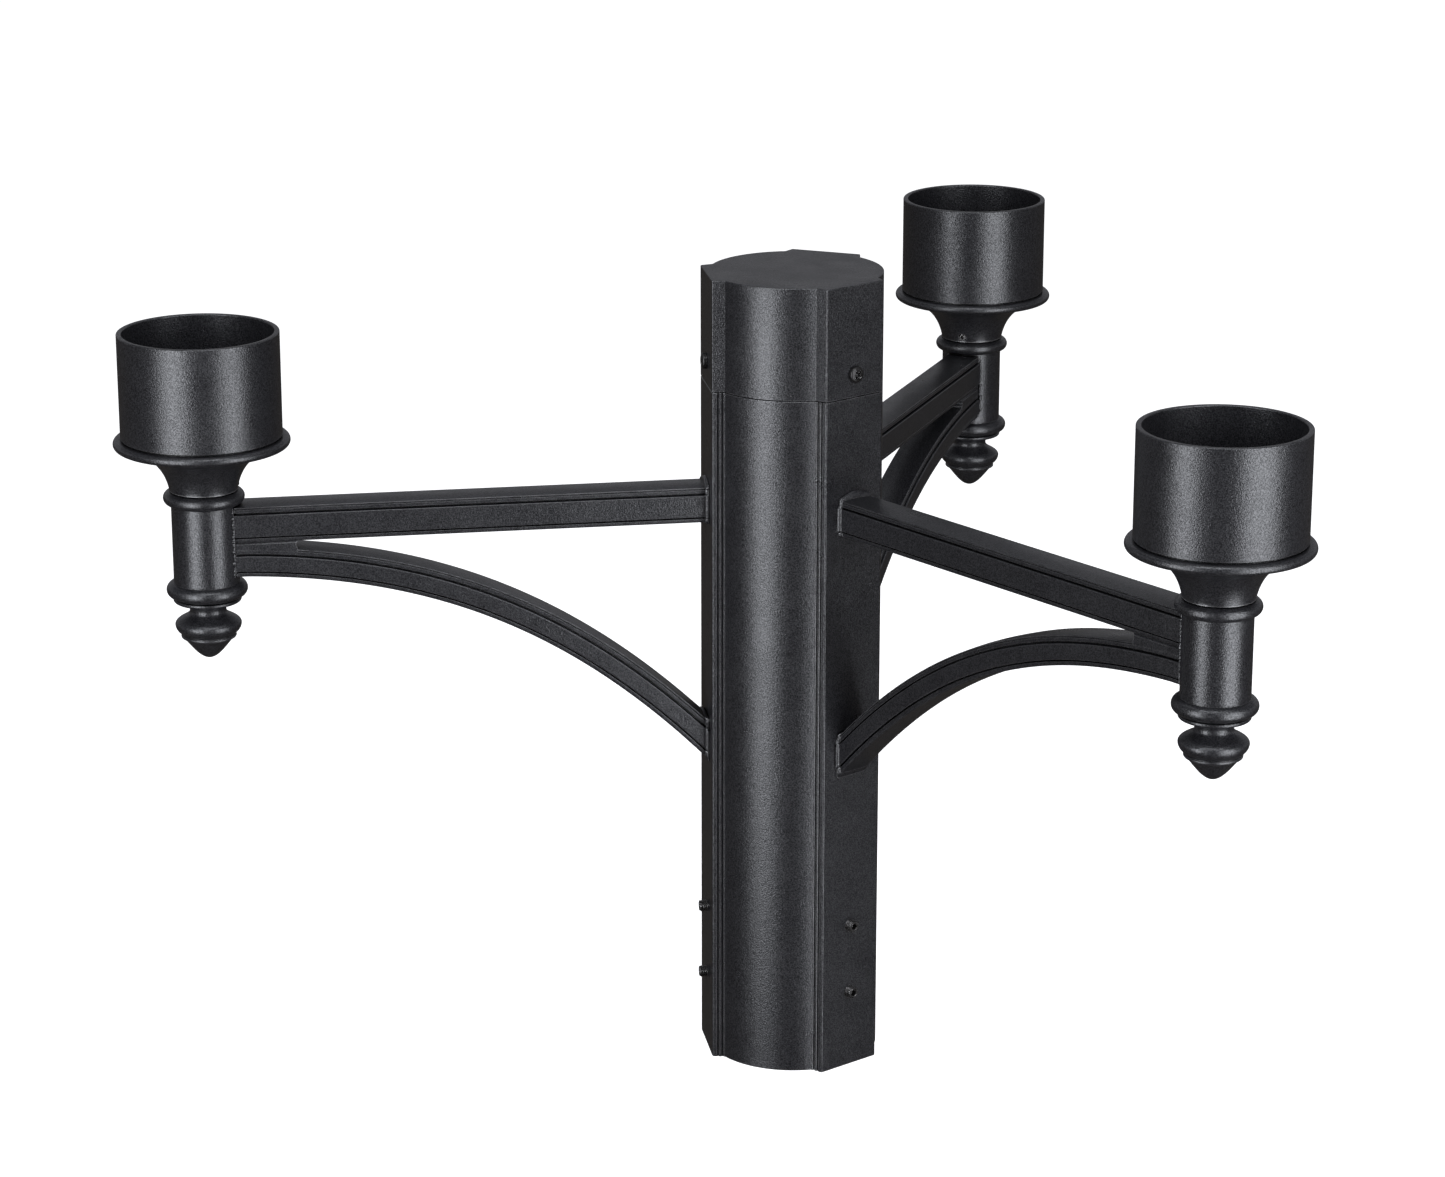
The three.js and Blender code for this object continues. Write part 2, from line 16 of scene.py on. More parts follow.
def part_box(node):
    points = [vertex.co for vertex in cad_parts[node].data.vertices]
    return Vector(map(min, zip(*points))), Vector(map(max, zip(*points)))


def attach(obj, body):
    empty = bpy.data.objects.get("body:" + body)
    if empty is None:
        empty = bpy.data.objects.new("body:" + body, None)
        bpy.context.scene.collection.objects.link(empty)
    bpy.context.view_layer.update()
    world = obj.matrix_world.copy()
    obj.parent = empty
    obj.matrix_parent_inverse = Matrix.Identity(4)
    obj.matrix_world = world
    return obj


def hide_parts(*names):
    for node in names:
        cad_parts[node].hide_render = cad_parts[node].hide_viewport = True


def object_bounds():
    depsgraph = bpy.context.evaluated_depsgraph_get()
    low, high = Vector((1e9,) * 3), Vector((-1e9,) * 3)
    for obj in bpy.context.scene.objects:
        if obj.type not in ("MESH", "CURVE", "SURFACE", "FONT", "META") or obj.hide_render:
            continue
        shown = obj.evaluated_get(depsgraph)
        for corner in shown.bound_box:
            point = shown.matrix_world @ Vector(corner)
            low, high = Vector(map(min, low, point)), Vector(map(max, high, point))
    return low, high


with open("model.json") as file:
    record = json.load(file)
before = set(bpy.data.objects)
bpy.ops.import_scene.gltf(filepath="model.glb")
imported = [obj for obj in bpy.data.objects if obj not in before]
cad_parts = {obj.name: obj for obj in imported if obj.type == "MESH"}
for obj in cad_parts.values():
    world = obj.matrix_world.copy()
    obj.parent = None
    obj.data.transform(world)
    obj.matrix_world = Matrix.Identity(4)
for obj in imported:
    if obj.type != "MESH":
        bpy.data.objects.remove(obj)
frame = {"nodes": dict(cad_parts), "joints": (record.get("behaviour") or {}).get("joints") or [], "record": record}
CAD_LOW, CAD_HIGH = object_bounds()

# ---------- places, from the frame ----------

MM = 0.001
RECORD = frame["record"]
JOINTS = {joint["name"]: joint for joint in frame["joints"]}
BODY_OF = {node: body for body, nodes in RECORD["behaviour"]["bodies"].items() for node in nodes}
SLOT_OF = {part["node"]: part["material_slot"] for part in RECORD["subparts"]}
ARMS = (1, 2, 3)


def heights(node):
    low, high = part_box(node)
    return low.z / MM, high.z / MM


def arm_angle(number):
    x, y, _ = JOINTS[f"cup_{number}_turn"]["pos_m"]
    return math.atan2(y, x)


COLUMN_BOTTOM, COLUMN_TOP = heights("column_body")
CAP_BOTTOM, CAP_TOP = heights("top_cap")
STOP_BOTTOM, STOP_TOP = heights("post_stop")
SPIGOT_BOTTOM, SPIGOT_TOP = heights("cap_spigot")
RIM = heights("lantern_cup_1")[1]
CUP_BOTTOM = heights("lantern_cup_1")[0] - RIM
SLEEVE_BOTTOM, SLEEVE_TOP = (height - RIM for height in heights("socket_sleeve_1"))
FINIAL_TIP, FINIAL_TOP = (height - RIM for height in heights("finial_1"))
STEM_BOTTOM, STEM_TOP = (height - RIM for height in heights("stem_tube_1"))
NUT_BOTTOM, NUT_TOP = (height - RIM for height in heights("stem_nut_1"))
WASHER_BOTTOM, WASHER_TOP = (height - RIM for height in heights("stem_washer_1"))
CUP_AXIS_X = Vector(JOINTS["cup_1_turn"]["pos_m"]).length / MM


def screw_height(node):
    return sum(heights(node)) / 2


# ---------- sizes ----------

SEGMENTS = 128  # round the large turned pieces
TURNED_SEGMENTS = 96  # round the sleeves and finials
GAP = 0.15  # between a screw and its hole
OVERSHOOT = 5  # how far a cutting tool reaches past what it cuts

# Column
LOBE_RADIUS = 42
BORE_RADIUS = 38.6
FACET_X = 43.4
FACET_HALF_WIDTH = 17.5
SHOULDER_ANGLE = 27
LOBE_STEPS = 28
BODY_CORNER_RADIUS = 0.9
GROOVE_PLACES = (0.45, 0.8)  # shares of the way from facet to lobe
GROOVE_WIDTH = 1.2
GROOVE_DEPTH = 0.85
FOOT_CHAMFER = 0.35
SEAM_CHAMFER = 0.2  # of the column's top and the cap's rim
WIRE_HOLE_RADIUS = 4.5
FACET_DRILL_START = 30  # from the column's axis, clear of the wall on both sides
FACET_DRILL_END = 50

# Cap
CAP_CORNER_RADIUS = 0.7
CAP_PLATE = 5
CAP_EDGE_RADIUS = 0.5
CAP_POCKET_RADIUS = 39.2
CAP_DROP = 0.25  # how much nearer the column the cap sits than its CAD solid

# Pieces in the column
PRESSED_RADIUS = 38.3
STOP_CHAMFER = 0.6
STOP_HOLE_RADIUS = 8
STOP_HOLE_CIRCLE = 23
SPIGOT_NECK_RADIUS = 37.8
SPIGOT_STEP_HEIGHT = 1  # of the slope from its pressed part to its neck
SPIGOT_EDGE_RADIUS = 0.8
SPIGOT_BORE_RADIUS = 34

# Arm, heights from the rim
ARM_START_X = FACET_X + 0.3
BAR_TOP = -83.5
BAR_DEPTH = 18
BEAD_HALF_WIDTH = 8.7
CORE_HALF_WIDTH = 7.3
PANEL_HALF_WIDTH = 9.5
STRIP_DEPTH = 3.4
UNDERCUT_SLOPE = 0.1  # rise of the sides of the grooves over and under the panel
BEAD_SHOULDER = 0.6  # from the bead's side up to the panel
CROWN = 0.6  # height of the top face over its edges
CROWN_RADIUS = 60
EDGE_LINE_START = 0.42  # fine groove close under the top edge
EDGE_LINE_WIDTH = 0.7
EDGE_LINE_DEPTH = 0.55
PANEL_TOP = 4.3
BEAD_DEPTH = 2.7
BRACE_DEPTH = 14.7
BRACE_START = Vector((CUP_AXIS_X, -110.5))
BRACE_START_REACH = 106.7
BRACE_END = Vector((43, -212.6))
BRACE_END_REACH = 92
BRACE_END_ANGLE = math.radians(45.4)
BRACE_STEPS = 64
BRACE_CLEAR_OF_SLEEVE = 1.5  # where its even run starts
WEB_START_X = 240
WEB_SPARE = 3  # length that the slot's cut takes away again
WEB_INTO_BAR = 1
SLOT_END_RADIUS = 1.85
SLOT_BLOCK = 10  # half the length of the block that clears the slot
SLOT_BLOCK_DROP = 6  # of its middle, under the bar
ARM_WIDE = 20  # half the width of a tool that cuts right across an arm
WEB_PARTING = 0.8  # line between web and bar, its width and depth
WIRE_BORE_RADIUS = 3.5
WIRE_BORE_Z = -93.2
SLEEVE_GAP = 0.25  # between an arm's end and the sleeve, under the weld
SLEEVE_WELD_THICKNESS = 0.75
SLEEVE_WELD_OFF_WALL = 0.15  # from the sleeve to the bead's middle
SLEEVE_WELD_INSET = 0.35  # of the bead's middle from the panel's face
SLEEVE_WELD_DROP = 0.2  # of its lower end under the brace
SLEEVE_WELD_SWELL = 0.9  # the largest change of its thickness, as a share
SLEEVE_WELD_WANDER = 0.7  # the largest change of its place across the arm
SLEEVE_WELD_RIPPLE = 0.7  # how often it swells in a millimetre
SLEEVE_WELD_STEPS = 90

# Stem stack, heights from the rim
TUBE_RADIUS = 38.1
TUBE_WALL = 2.5
FLANGE_RADIUS = 41.7
FLANGE_TOP = -50.7
FLANGE_BOTTOM = -55.2
SEAM_DEPTH = 1.0  # of the groove between tube and flange
SEAM_HEIGHT = 0.8
CUP_FLOOR = -70.5
FLOOR_RADIUS = 12
FUNNEL_RADIUS = 22  # inside the bell, under the flange
BELL_WAIST_RADIUS = 22.5
NECK_RADIUS = 16.2
NECK_DRILL_START = -30  # from the cup's axis, on the side of the column
NECK_DRILL_END = -2
STEM_HOLE_RADIUS = 5.2
SLEEVE_RADIUS = 15.7
SLEEVE_CAVITY = 12.4
SLEEVE_END = 4.4
COLLAR_RADIUS = 19.3
UPPER_COLLAR_HEIGHT = 6.6
LOWER_COLLAR_HEIGHT = 7.1
FINIAL_DISC_RADIUS = 16.2  # against the sleeve
FINIAL_DISC_BOTTOM = -131.4
FINIAL_NECK_RADIUS = 8.7
FINIAL_NECK_Z = -136
FINIAL_RADIUS = 15.8
FINIAL_WIDEST_Z = -142.7
FINIAL_RING_RADIUS = 13.2
FINIAL_BORE_SPARE = 1.5  # past the end of the stem
STEM_RADIUS = 4.9
STEM_BORE_RADIUS = 3.2
STEM_WIRE_HOLE_RADIUS = 2.4
NUT_ACROSS_FLATS = 17
NUT_MOUTH = 0.5  # width and depth of the chamfer of its hole
NUT_CHAMFER_ANGLE = math.radians(30)
WASHER_RADIUS = 10

# Fasteners
SCREW_SEGMENTS = 36
THREAD_DEPTH = 0.6  # in pitches
STEM_PITCH = 1.5
SOCKET_CHAMFER = 0.25
SOCKET_CONE = 0.5  # depth of the drill's point under a socket's flats
SET_SCREW_RADIUS = 3
SET_SCREW_PITCH = 1
SET_SCREW_HEX = 3
SMALL_SCREW_PITCH = 0.7
NECK_SCREW_RADIUS = 2
NECK_SCREW_HEX = 2
CAP_SCREW_RADIUS = 2
CAP_SCREW_HEAD_RADIUS = 3.9
CAP_SCREW_SEAT = FACET_X + 0.1
CAP_SCREW_EDGE = 0.15
CAP_SCREW_DOME = 1.1
CAP_SCREW_ROUNDNESS = 0.6  # 1 is an elliptical dome, and less is a squarer one
RECESS_HALF_LENGTH = 2.5
RECESS_HALF_WIDTH = 0.6
RECESS_DEPTH = 1.7

# ---------- outlines ----------


def arc(centre, radius, start, end, steps):
    """Points on a circle between two angles in degrees, both ends included."""
    angles = [math.radians(start + (end - start) * i / steps) for i in range(steps + 1)]
    x, y = centre
    return [Vector((x + radius * math.cos(a), y + radius * math.sin(a))) for a in angles]


def bezier(points, steps):
    """Points on a cubic curve, both ends included."""
    p0, p1, p2, p3 = (Vector(point) for point in points)
    curve = []
    for i in range(steps + 1):
        t = i / steps
        s = 1 - t
        curve.append(s ** 3 * p0 + 3 * s * s * t * p1 + 3 * s * t * t * p2 + t ** 3 * p3)
    return curve


def rounded(corners, steps=4):
    """A closed outline through corners (x, y, radius), each turned into an arc of that radius."""
    outline = []
    for i, (x, y, radius) in enumerate(corners):
        here = Vector((x, y))
        if not radius:
            outline.append(here)
            continue
        back = (Vector(corners[i - 1][:2]) - here).normalized()
        ahead = (Vector(corners[(i + 1) % len(corners)][:2]) - here).normalized()
        half = back.angle(ahead) / 2
        centre = here + (back + ahead).normalized() * radius / math.sin(half)
        start = here + back * radius / math.tan(half) - centre
        end = here + ahead * radius / math.tan(half) - centre
        turn = end.angle_signed(start)
        for k in range(steps + 1):
            spoke = start.copy()
            spoke.rotate(Matrix.Rotation(turn * k / steps, 2))
            outline.append(centre + spoke)
    return outline


def bulge(bottom, top, inner, outer, steps=12):
    """Half-round moulding of a turned piece, from its lower edge to its upper one."""
    middle = (bottom + top) / 2
    half = (top - bottom) / 2
    reach = outer - inner
    angles = [math.pi * i / steps for i in range(steps + 1)]
    return [Vector((inner + reach * math.sin(a), middle - half * math.cos(a))) for a in angles]


def offset(outline, distance):
    """The closed counter-clockwise outline moved outward, or inward by a negative distance."""
    moved = []
    for i, here in enumerate(outline):
        into = (here - outline[i - 1]).normalized()
        out = (outline[(i + 1) % len(outline)] - here).normalized()
        along = (into + out).normalized()
        normal = Vector((along.y, -along.x))
        moved.append(here + normal * distance / max(0.5, along.dot(into)))
    return moved


def turned_by(points, angle):
    spin = Matrix.Rotation(angle, 2)
    return [spin @ point for point in points]


# ---------- meshes ----------


def skin(rings, closed=False):
    """A bmesh over rings of points. A ring of one point is a pole; open ends get a face each."""
    bm = bmesh.new()
    loops = [[bm.verts.new(point) for point in ring] for ring in rings]
    pairs = list(zip(loops, loops[1:]))
    if closed:
        pairs.append((loops[-1], loops[0]))
    for lower, upper in pairs:
        count = max(len(lower), len(upper))
        for i in range(count):
            j = (i + 1) % count
            below = [lower[i % len(lower)], lower[j % len(lower)]]
            above = [upper[j % len(upper)], upper[i % len(upper)]]
            bm.faces.new(dict.fromkeys(below + above))
    if not closed:
        for loop in (loops[0], loops[-1]):
            if len(loop) > 1:
                bm.faces.new(loop)
    bmesh.ops.recalc_face_normals(bm, faces=bm.faces)
    return bm


def lathe(profile, segments=SEGMENTS, closed=True):
    """A profile of radius and height turned about Z. An open one starts and ends on the axis."""
    rings = []
    for radius, height in profile:
        if radius < 1e-6:
            rings.append([Vector((0, 0, height))])
            continue
        circle = arc((0, 0), radius, 0, 360, segments)[:-1]
        rings.append([Vector((x, y, height)) for x, y in circle])
    return skin(rings, closed)


def box_corners(half_length, half_width):
    """A rectangle round the origin, counter-clockwise."""
    return [
        (-half_length, -half_width),
        (half_length, -half_width),
        (half_length, half_width),
        (-half_length, half_width),
    ]


def prism(outline, bottom, top):
    return skin([[Vector((x, y, z)) for x, y in outline] for z in (bottom, top)])


def rod(radius, bottom, top, segments=32):
    return prism(arc((0, 0), radius, 0, 360, segments)[:-1], bottom, top)


def moved(bm, matrix):
    bm.transform(matrix)
    return bm


def along_x(bm, height=0):
    """Lays a piece shaped along +Z down along +X, at a height."""
    return moved(bm, Matrix.Translation((0, 0, height)) @ Matrix.Rotation(math.pi / 2, 4, "Y"))


def along_y(bm, x, z):
    return moved(bm, Matrix.Translation((x, 0, z)) @ Matrix.Rotation(math.pi / 2, 4, "X"))


def boolean(body, tools, operation):
    """Joins tools to a solid or cuts them from it, and returns the new bmesh."""
    holders = []
    for bm in (body, *tools):
        mesh = bpy.data.meshes.new("boolean")
        bm.to_mesh(mesh)
        bm.free()
        holder = bpy.data.objects.new("boolean", mesh)
        bpy.context.scene.collection.objects.link(holder)
        holders.append(holder)
    for tool in holders[1:]:
        modifier = holders[0].modifiers.new("boolean", "BOOLEAN")
        modifier.operation = operation
        modifier.solver = "MANIFOLD"
        modifier.object = tool
    result = bmesh.new()
    result.from_object(holders[0], bpy.context.evaluated_depsgraph_get())
    for holder in holders:
        mesh = holder.data
        bpy.data.objects.remove(holder)
        bpy.data.meshes.remove(mesh)
    return result


def join(body, *tools):
    return boolean(body, tools, "UNION")


def cut(body, *tools):
    return boolean(body, tools, "DIFFERENCE")


def at_arm(number):
    """Turns a piece that is shaped along +X to its arm."""
    return Matrix.Rotation(arm_angle(number), 4, "Z")


def at_rim(number):
    return at_arm(number) @ Matrix.Translation((0, 0, RIM))


def at_cup(number):
    return at_arm(number) @ Matrix.Translation((CUP_AXIS_X, 0, RIM))


def place(name, bm, matrix, body, slot, sharp_degrees=32):
    """Makes the object, in metres, with crisp edges and flat faces that stay flat."""
    mesh = bpy.data.meshes.new(name)
    bm.to_mesh(mesh)
    bm.free()
    mesh.transform(Matrix.Scale(MM, 4) @ matrix)
    mesh.shade_smooth()
    mesh.set_sharp_from_angle(angle=math.radians(sharp_degrees))
    mesh.materials.append(MATERIALS[slot])
    piece = bpy.data.objects.new(name, mesh)
    bpy.context.scene.collection.objects.link(piece)
    weighted = piece.modifiers.new("weighted_normals", "WEIGHTED_NORMAL")
    weighted.keep_sharp = True
    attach(piece, body)
    return piece


def stand_for(node, bm, matrix):
    """The fine piece that is shown in place of a CAD node."""
    piece = place(f"{node}_fine", bm, matrix, BODY_OF[node], SLOT_OF[node])
    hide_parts(node)


# ---------- column ----------


def shoulder_grooves(start, end):
    """The points of the fine grooves along a shoulder that runs from start to end."""
    along = (end - start).normalized()
    inward = Vector((-along.y, along.x))
    half = along * GROOVE_WIDTH / 2
    points = []
    for share in GROOVE_PLACES:
        middle = start.lerp(end, share)
        points += [middle - half, middle + inward * GROOVE_DEPTH, middle + half]
    return points


def facet_half(corner_radius, grooved):
    """From a facet's rounded corner to the start of the lobe that follows it."""
    corner = Vector((FACET_X, FACET_HALF_WIDTH))
    shoulder = math.radians(SHOULDER_ANGLE)
    lobe_start = LOBE_RADIUS * Vector((math.cos(shoulder), math.sin(shoulder)))
    corners = [(FACET_X, 0, 0), (*corner, corner_radius), (*lobe_start, 0)]
    edge = rounded(corners, 6)[1:-1]
    return edge + shoulder_grooves(corner, lobe_start) if grooved else edge


def column_outline(corner_radius, grooved):
    half = facet_half(corner_radius, grooved)
    mirrored = [Vector((x, -y)) for x, y in reversed(half)]
    lobe = arc((0, 0), LOBE_RADIUS, SHOULDER_ANGLE, 120 - SHOULDER_ANGLE, LOBE_STEPS)
    outline = []
    for number in ARMS:
        outline += turned_by(mirrored + half + lobe, arm_angle(number))
    return outline


def ring(outline, height):
    return [Vector((x, y, height)) for x, y in outline]


def circle_beside(outline, radius):
    """A circle with as many points as the outline, each in the same direction from the centre."""
    return [point.normalized() * radius for point in outline]


def facet_drills(radius, height):
    drill = (radius, FACET_DRILL_START, FACET_DRILL_END)
    return [moved(along_x(rod(*drill), height), at_arm(number)) for number in ARMS]


def make_column_body():
    outline = column_outline(BODY_CORNER_RADIUS, True)
    bore = circle_beside(outline, BORE_RADIUS)
    wide_bore = circle_beside(outline, BORE_RADIUS + FOOT_CHAMFER)
    rings = [
        ring(offset(outline, -FOOT_CHAMFER), COLUMN_BOTTOM),
        ring(outline, COLUMN_BOTTOM + FOOT_CHAMFER),
        ring(outline, COLUMN_TOP - SEAM_CHAMFER),
        ring(offset(outline, -SEAM_CHAMFER), COLUMN_TOP),
        ring(wide_bore, COLUMN_TOP),
        ring(bore, COLUMN_TOP - FOOT_CHAMFER),
        ring(bore, COLUMN_BOTTOM + FOOT_CHAMFER),
        ring(wide_bore, COLUMN_BOTTOM),
    ]
    drills = facet_drills(WIRE_HOLE_RADIUS, RIM + WIRE_BORE_Z)
    for row in ("lower", "upper"):
        height = screw_height(f"post_set_screw_1_{row}")
        drills += facet_drills(SET_SCREW_RADIUS + GAP, height)
    stand_for("column_body", cut(skin(rings, closed=True), *drills), Matrix())


def make_top_cap():
    outline = column_outline(CAP_CORNER_RADIUS, False)
    pocket = circle_beside(outline, CAP_POCKET_RADIUS)
    edge_steps = 4
    rings = [
        ring(pocket, CAP_TOP - CAP_PLATE),
        ring(pocket, CAP_BOTTOM - CAP_DROP),
        ring(offset(outline, -SEAM_CHAMFER), CAP_BOTTOM - CAP_DROP),
        ring(outline, CAP_BOTTOM - CAP_DROP + SEAM_CHAMFER),
    ]
    for i in range(edge_steps + 1):
        angle = math.pi / 2 * i / edge_steps
        inward = CAP_EDGE_RADIUS * (math.cos(angle) - 1)
        height = CAP_TOP + CAP_EDGE_RADIUS * (math.sin(angle) - 1)
        rings.append(ring(offset(outline, inward), height))
    drills = facet_drills(CAP_SCREW_RADIUS + GAP, screw_height("cap_screw_1"))
    stand_for("top_cap", cut(skin(rings), *drills), Matrix())


def make_cap_spigot():
    profile = rounded([
        (SPIGOT_BORE_RADIUS, SPIGOT_BOTTOM, 0.4),
        (PRESSED_RADIUS, SPIGOT_BOTTOM, SPIGOT_EDGE_RADIUS),
        (PRESSED_RADIUS, COLUMN_TOP - SPIGOT_STEP_HEIGHT, 0.1),
        (SPIGOT_NECK_RADIUS, COLUMN_TOP, 0.1),
        (SPIGOT_NECK_RADIUS, SPIGOT_TOP, SPIGOT_EDGE_RADIUS),
        (SPIGOT_BORE_RADIUS, SPIGOT_TOP, 0.5),
    ])
    stand_for("cap_spigot", lathe(profile), Matrix())


def make_post_stop():
    profile = [
        (0, STOP_BOTTOM),
        (PRESSED_RADIUS - STOP_CHAMFER, STOP_BOTTOM),
        (PRESSED_RADIUS, STOP_BOTTOM + STOP_CHAMFER),
        (PRESSED_RADIUS, STOP_TOP - STOP_CHAMFER),
        (PRESSED_RADIUS - STOP_CHAMFER, STOP_TOP),
        (0, STOP_TOP),
    ]
    drills = []
    for number in ARMS:
        angle = arm_angle(number) + math.pi / 3
        centre = STOP_HOLE_CIRCLE * Vector((math.cos(angle), math.sin(angle), 0))
        drill = rod(STOP_HOLE_RADIUS, STOP_BOTTOM - OVERSHOOT, STOP_TOP + OVERSHOOT, 48)
        drills.append(moved(drill, Matrix.Translation(centre)))
    stand_for("post_stop", cut(lathe(profile, closed=False), *drills), Matrix())


# ---------- arm ----------


def arm_section(depth):
    """Strip, groove, panel and bead, as (side, height under the top), counter-clockwise."""
    bead_top = BEAD_DEPTH - depth
    line_top = -CROWN - EDGE_LINE_START
    half = [
        (BEAD_HALF_WIDTH, -depth, 0.9),
        (BEAD_HALF_WIDTH, bead_top - BEAD_SHOULDER, 0.25),
        (CORE_HALF_WIDTH, bead_top - BEAD_SHOULDER + UNDERCUT_SLOPE, 0.2),
        (CORE_HALF_WIDTH, bead_top + 0.05, 0.2),
        (PANEL_HALF_WIDTH, bead_top + 0.05 + UNDERCUT_SLOPE, 0.4),
        (PANEL_HALF_WIDTH, -PANEL_TOP, 0.5),
        (CORE_HALF_WIDTH, -PANEL_TOP + UNDERCUT_SLOPE, 0.2),
        (CORE_HALF_WIDTH, -STRIP_DEPTH - UNDERCUT_SLOPE, 0.2),
        (BEAD_HALF_WIDTH, -STRIP_DEPTH, 0.3),
        (BEAD_HALF_WIDTH, line_top - EDGE_LINE_WIDTH, 0.12),
        (BEAD_HALF_WIDTH - EDGE_LINE_DEPTH, line_top - EDGE_LINE_WIDTH / 2, 0.08),
        (BEAD_HALF_WIDTH, line_top, 0.12),
        (BEAD_HALF_WIDTH, -CROWN, 0.3),
    ]
    mirrored = [(-x, y, radius) for x, y, radius in reversed(half)]
    return rounded([*half, (0, 0, CROWN_RADIUS), *mirrored], 3)


def sleeve_wall_x(side, radius):
    """Where a wall round the cup's axis stands, at a distance to the side of the arm."""
    return CUP_AXIS_X - math.sqrt(radius ** 2 - side ** 2)


# How far the weld bead stands out round an arm's end, at distances from the facet.
WELD_BEAD = [(0, 1.1), (0.5, 1.05), (0.95, 0.9), (1.3, 0.65), (1.55, 0.35), (1.65, 0)]
WELD_HUMP = 1.8  # extra height over the middle of a bar's top, in times the bead's own
WELD_RIPPLE = 0.6  # how often the bead swells in a millimetre
WELD_SWELL = 0.6  # the largest change of its thickness, as a share
# How far an arm's end is rounded off, at distances from the sleeve's wall.
SLEEVE_END_EDGE = [(0.9, 0), (0.5, -0.12), (0.3, -0.45)]


def welded(outline, stand_out):
    """An arm's end stood out by its uneven weld bead."""
    shape = []
    for plain, full in zip(outline, offset(outline, stand_out)):
        swell = noise.noise(Vector((plain.x * WELD_RIPPLE, plain.y * WELD_RIPPLE, stand_out)))
        shape.append(plain.lerp(full, 1 + WELD_SWELL * swell))
    return shape


def weld_hump(side, height, stand_out):
    """How much higher a bar's weld is at a point of its outline, which is only on its top."""
    if height <= -CROWN:
        return 0
    return WELD_HUMP * stand_out * max(0, 1 - (side / PANEL_HALF_WIDTH) ** 2)


def make_bar():
    outline = arm_section(BAR_DEPTH)
    rings = []
    for distance, stand_out in WELD_BEAD:
        x = ARM_START_X + distance
        shape = welded(outline, stand_out)
        rings.append([Vector((x, y, BAR_TOP + z + weld_hump(y, z, stand_out))) for y, z in shape])
    for distance, stand_out in SLEEVE_END_EDGE:
        shape = offset(outline, stand_out)
        wall = SLEEVE_RADIUS + distance
        rings.append([Vector((sleeve_wall_x(y, wall), y, BAR_TOP + z)) for y, z in shape])
    return skin(rings)


def brace_line():
    """Points and directions along the middle of the brace, from the sleeve to the facet."""
    slope = Vector((math.cos(BRACE_END_ANGLE), math.sin(BRACE_END_ANGLE)))
    points = bezier([
        BRACE_START,
        BRACE_START - Vector((BRACE_START_REACH, 0)),
        BRACE_END + slope * BRACE_END_REACH,
        BRACE_END,
    ], BRACE_STEPS)
    directions = []
    for i in range(len(points)):
        ahead = points[min(i + 1, len(points) - 1)]
        directions.append((ahead - points[max(i - 1, 0)]).normalized())
    return list(zip(points, directions))


def brace_ring(point, direction, shape):
    """The brace's section square to its middle line; shape heights are from its upper edge."""
    up = Vector((direction.y, -direction.x))
    corners = []
    for side, height in shape:
        x, z = point + up * (height + BRACE_DEPTH / 2)
        corners.append(Vector((x, side, z)))
    return corners


def slid_to(corners, direction, plane_x):
    """Corners moved along the brace's direction onto a plane that faces the column."""
    return [corner + Vector((direction.x, 0, direction.y)) * ((plane_x - corner.x) / direction.x)
            for corner in corners]


def make_brace():
    outline = arm_section(BRACE_DEPTH)
    line = brace_line()
    beside_sleeve = CUP_AXIS_X - SLEEVE_RADIUS - BRACE_CLEAR_OF_SLEEVE
    first, level = next(step for step in line if step[0].x < beside_sleeve)
    rings = []
    for distance, stand_out in reversed(SLEEVE_END_EDGE):
        corners = brace_ring(first, level, offset(outline, stand_out))
        wall = SLEEVE_RADIUS + distance
        rings.append([Vector((sleeve_wall_x(y, wall), y, z)) for _, y, z in corners])
    last_clear = ARM_START_X + WELD_BEAD[-1][0] + BRACE_DEPTH * math.sin(BRACE_END_ANGLE) / 2
    for point, direction in line:
        if last_clear < point.x <= first.x:
            rings.append(brace_ring(point, direction, outline))
    end_direction = line[-1][1]
    end_corners = brace_ring(BRACE_END, end_direction, outline)
    for distance, stand_out in reversed(WELD_BEAD):
        x = ARM_START_X + distance
        flat = [Vector((y, z)) for _, y, z in slid_to(end_corners, end_direction, x)]
        rings.append([Vector((x, y, z)) for y, z in welded(flat, stand_out)])
    return skin(rings)


def make_web():
    """Solid part between bar and brace, flush with the brace's strip and parted from the bar
    by a line."""
    bar_bottom = BAR_TOP - BAR_DEPTH
    rings = []
    for point, direction in brace_line():
        if not WEB_START_X - WEB_SPARE < point.x < CUP_AXIS_X - SLEEVE_RADIUS / 2:
            continue
        brace_top = point.y + BRACE_DEPTH / 2 / abs(direction.x)
        bottom = brace_top - STRIP_DEPTH / 2
        half = [
            (BEAD_HALF_WIDTH, bottom),
            (BEAD_HALF_WIDTH, bar_bottom - WEB_PARTING),
            (BEAD_HALF_WIDTH - WEB_PARTING, bar_bottom),
            (BEAD_HALF_WIDTH - WEB_PARTING, bar_bottom + WEB_INTO_BAR),
        ]
        mirrored = [(-y, z) for y, z in reversed(half)]
        rings.append([Vector((point.x, y, z)) for y, z in half + mirrored])
    return skin(rings)


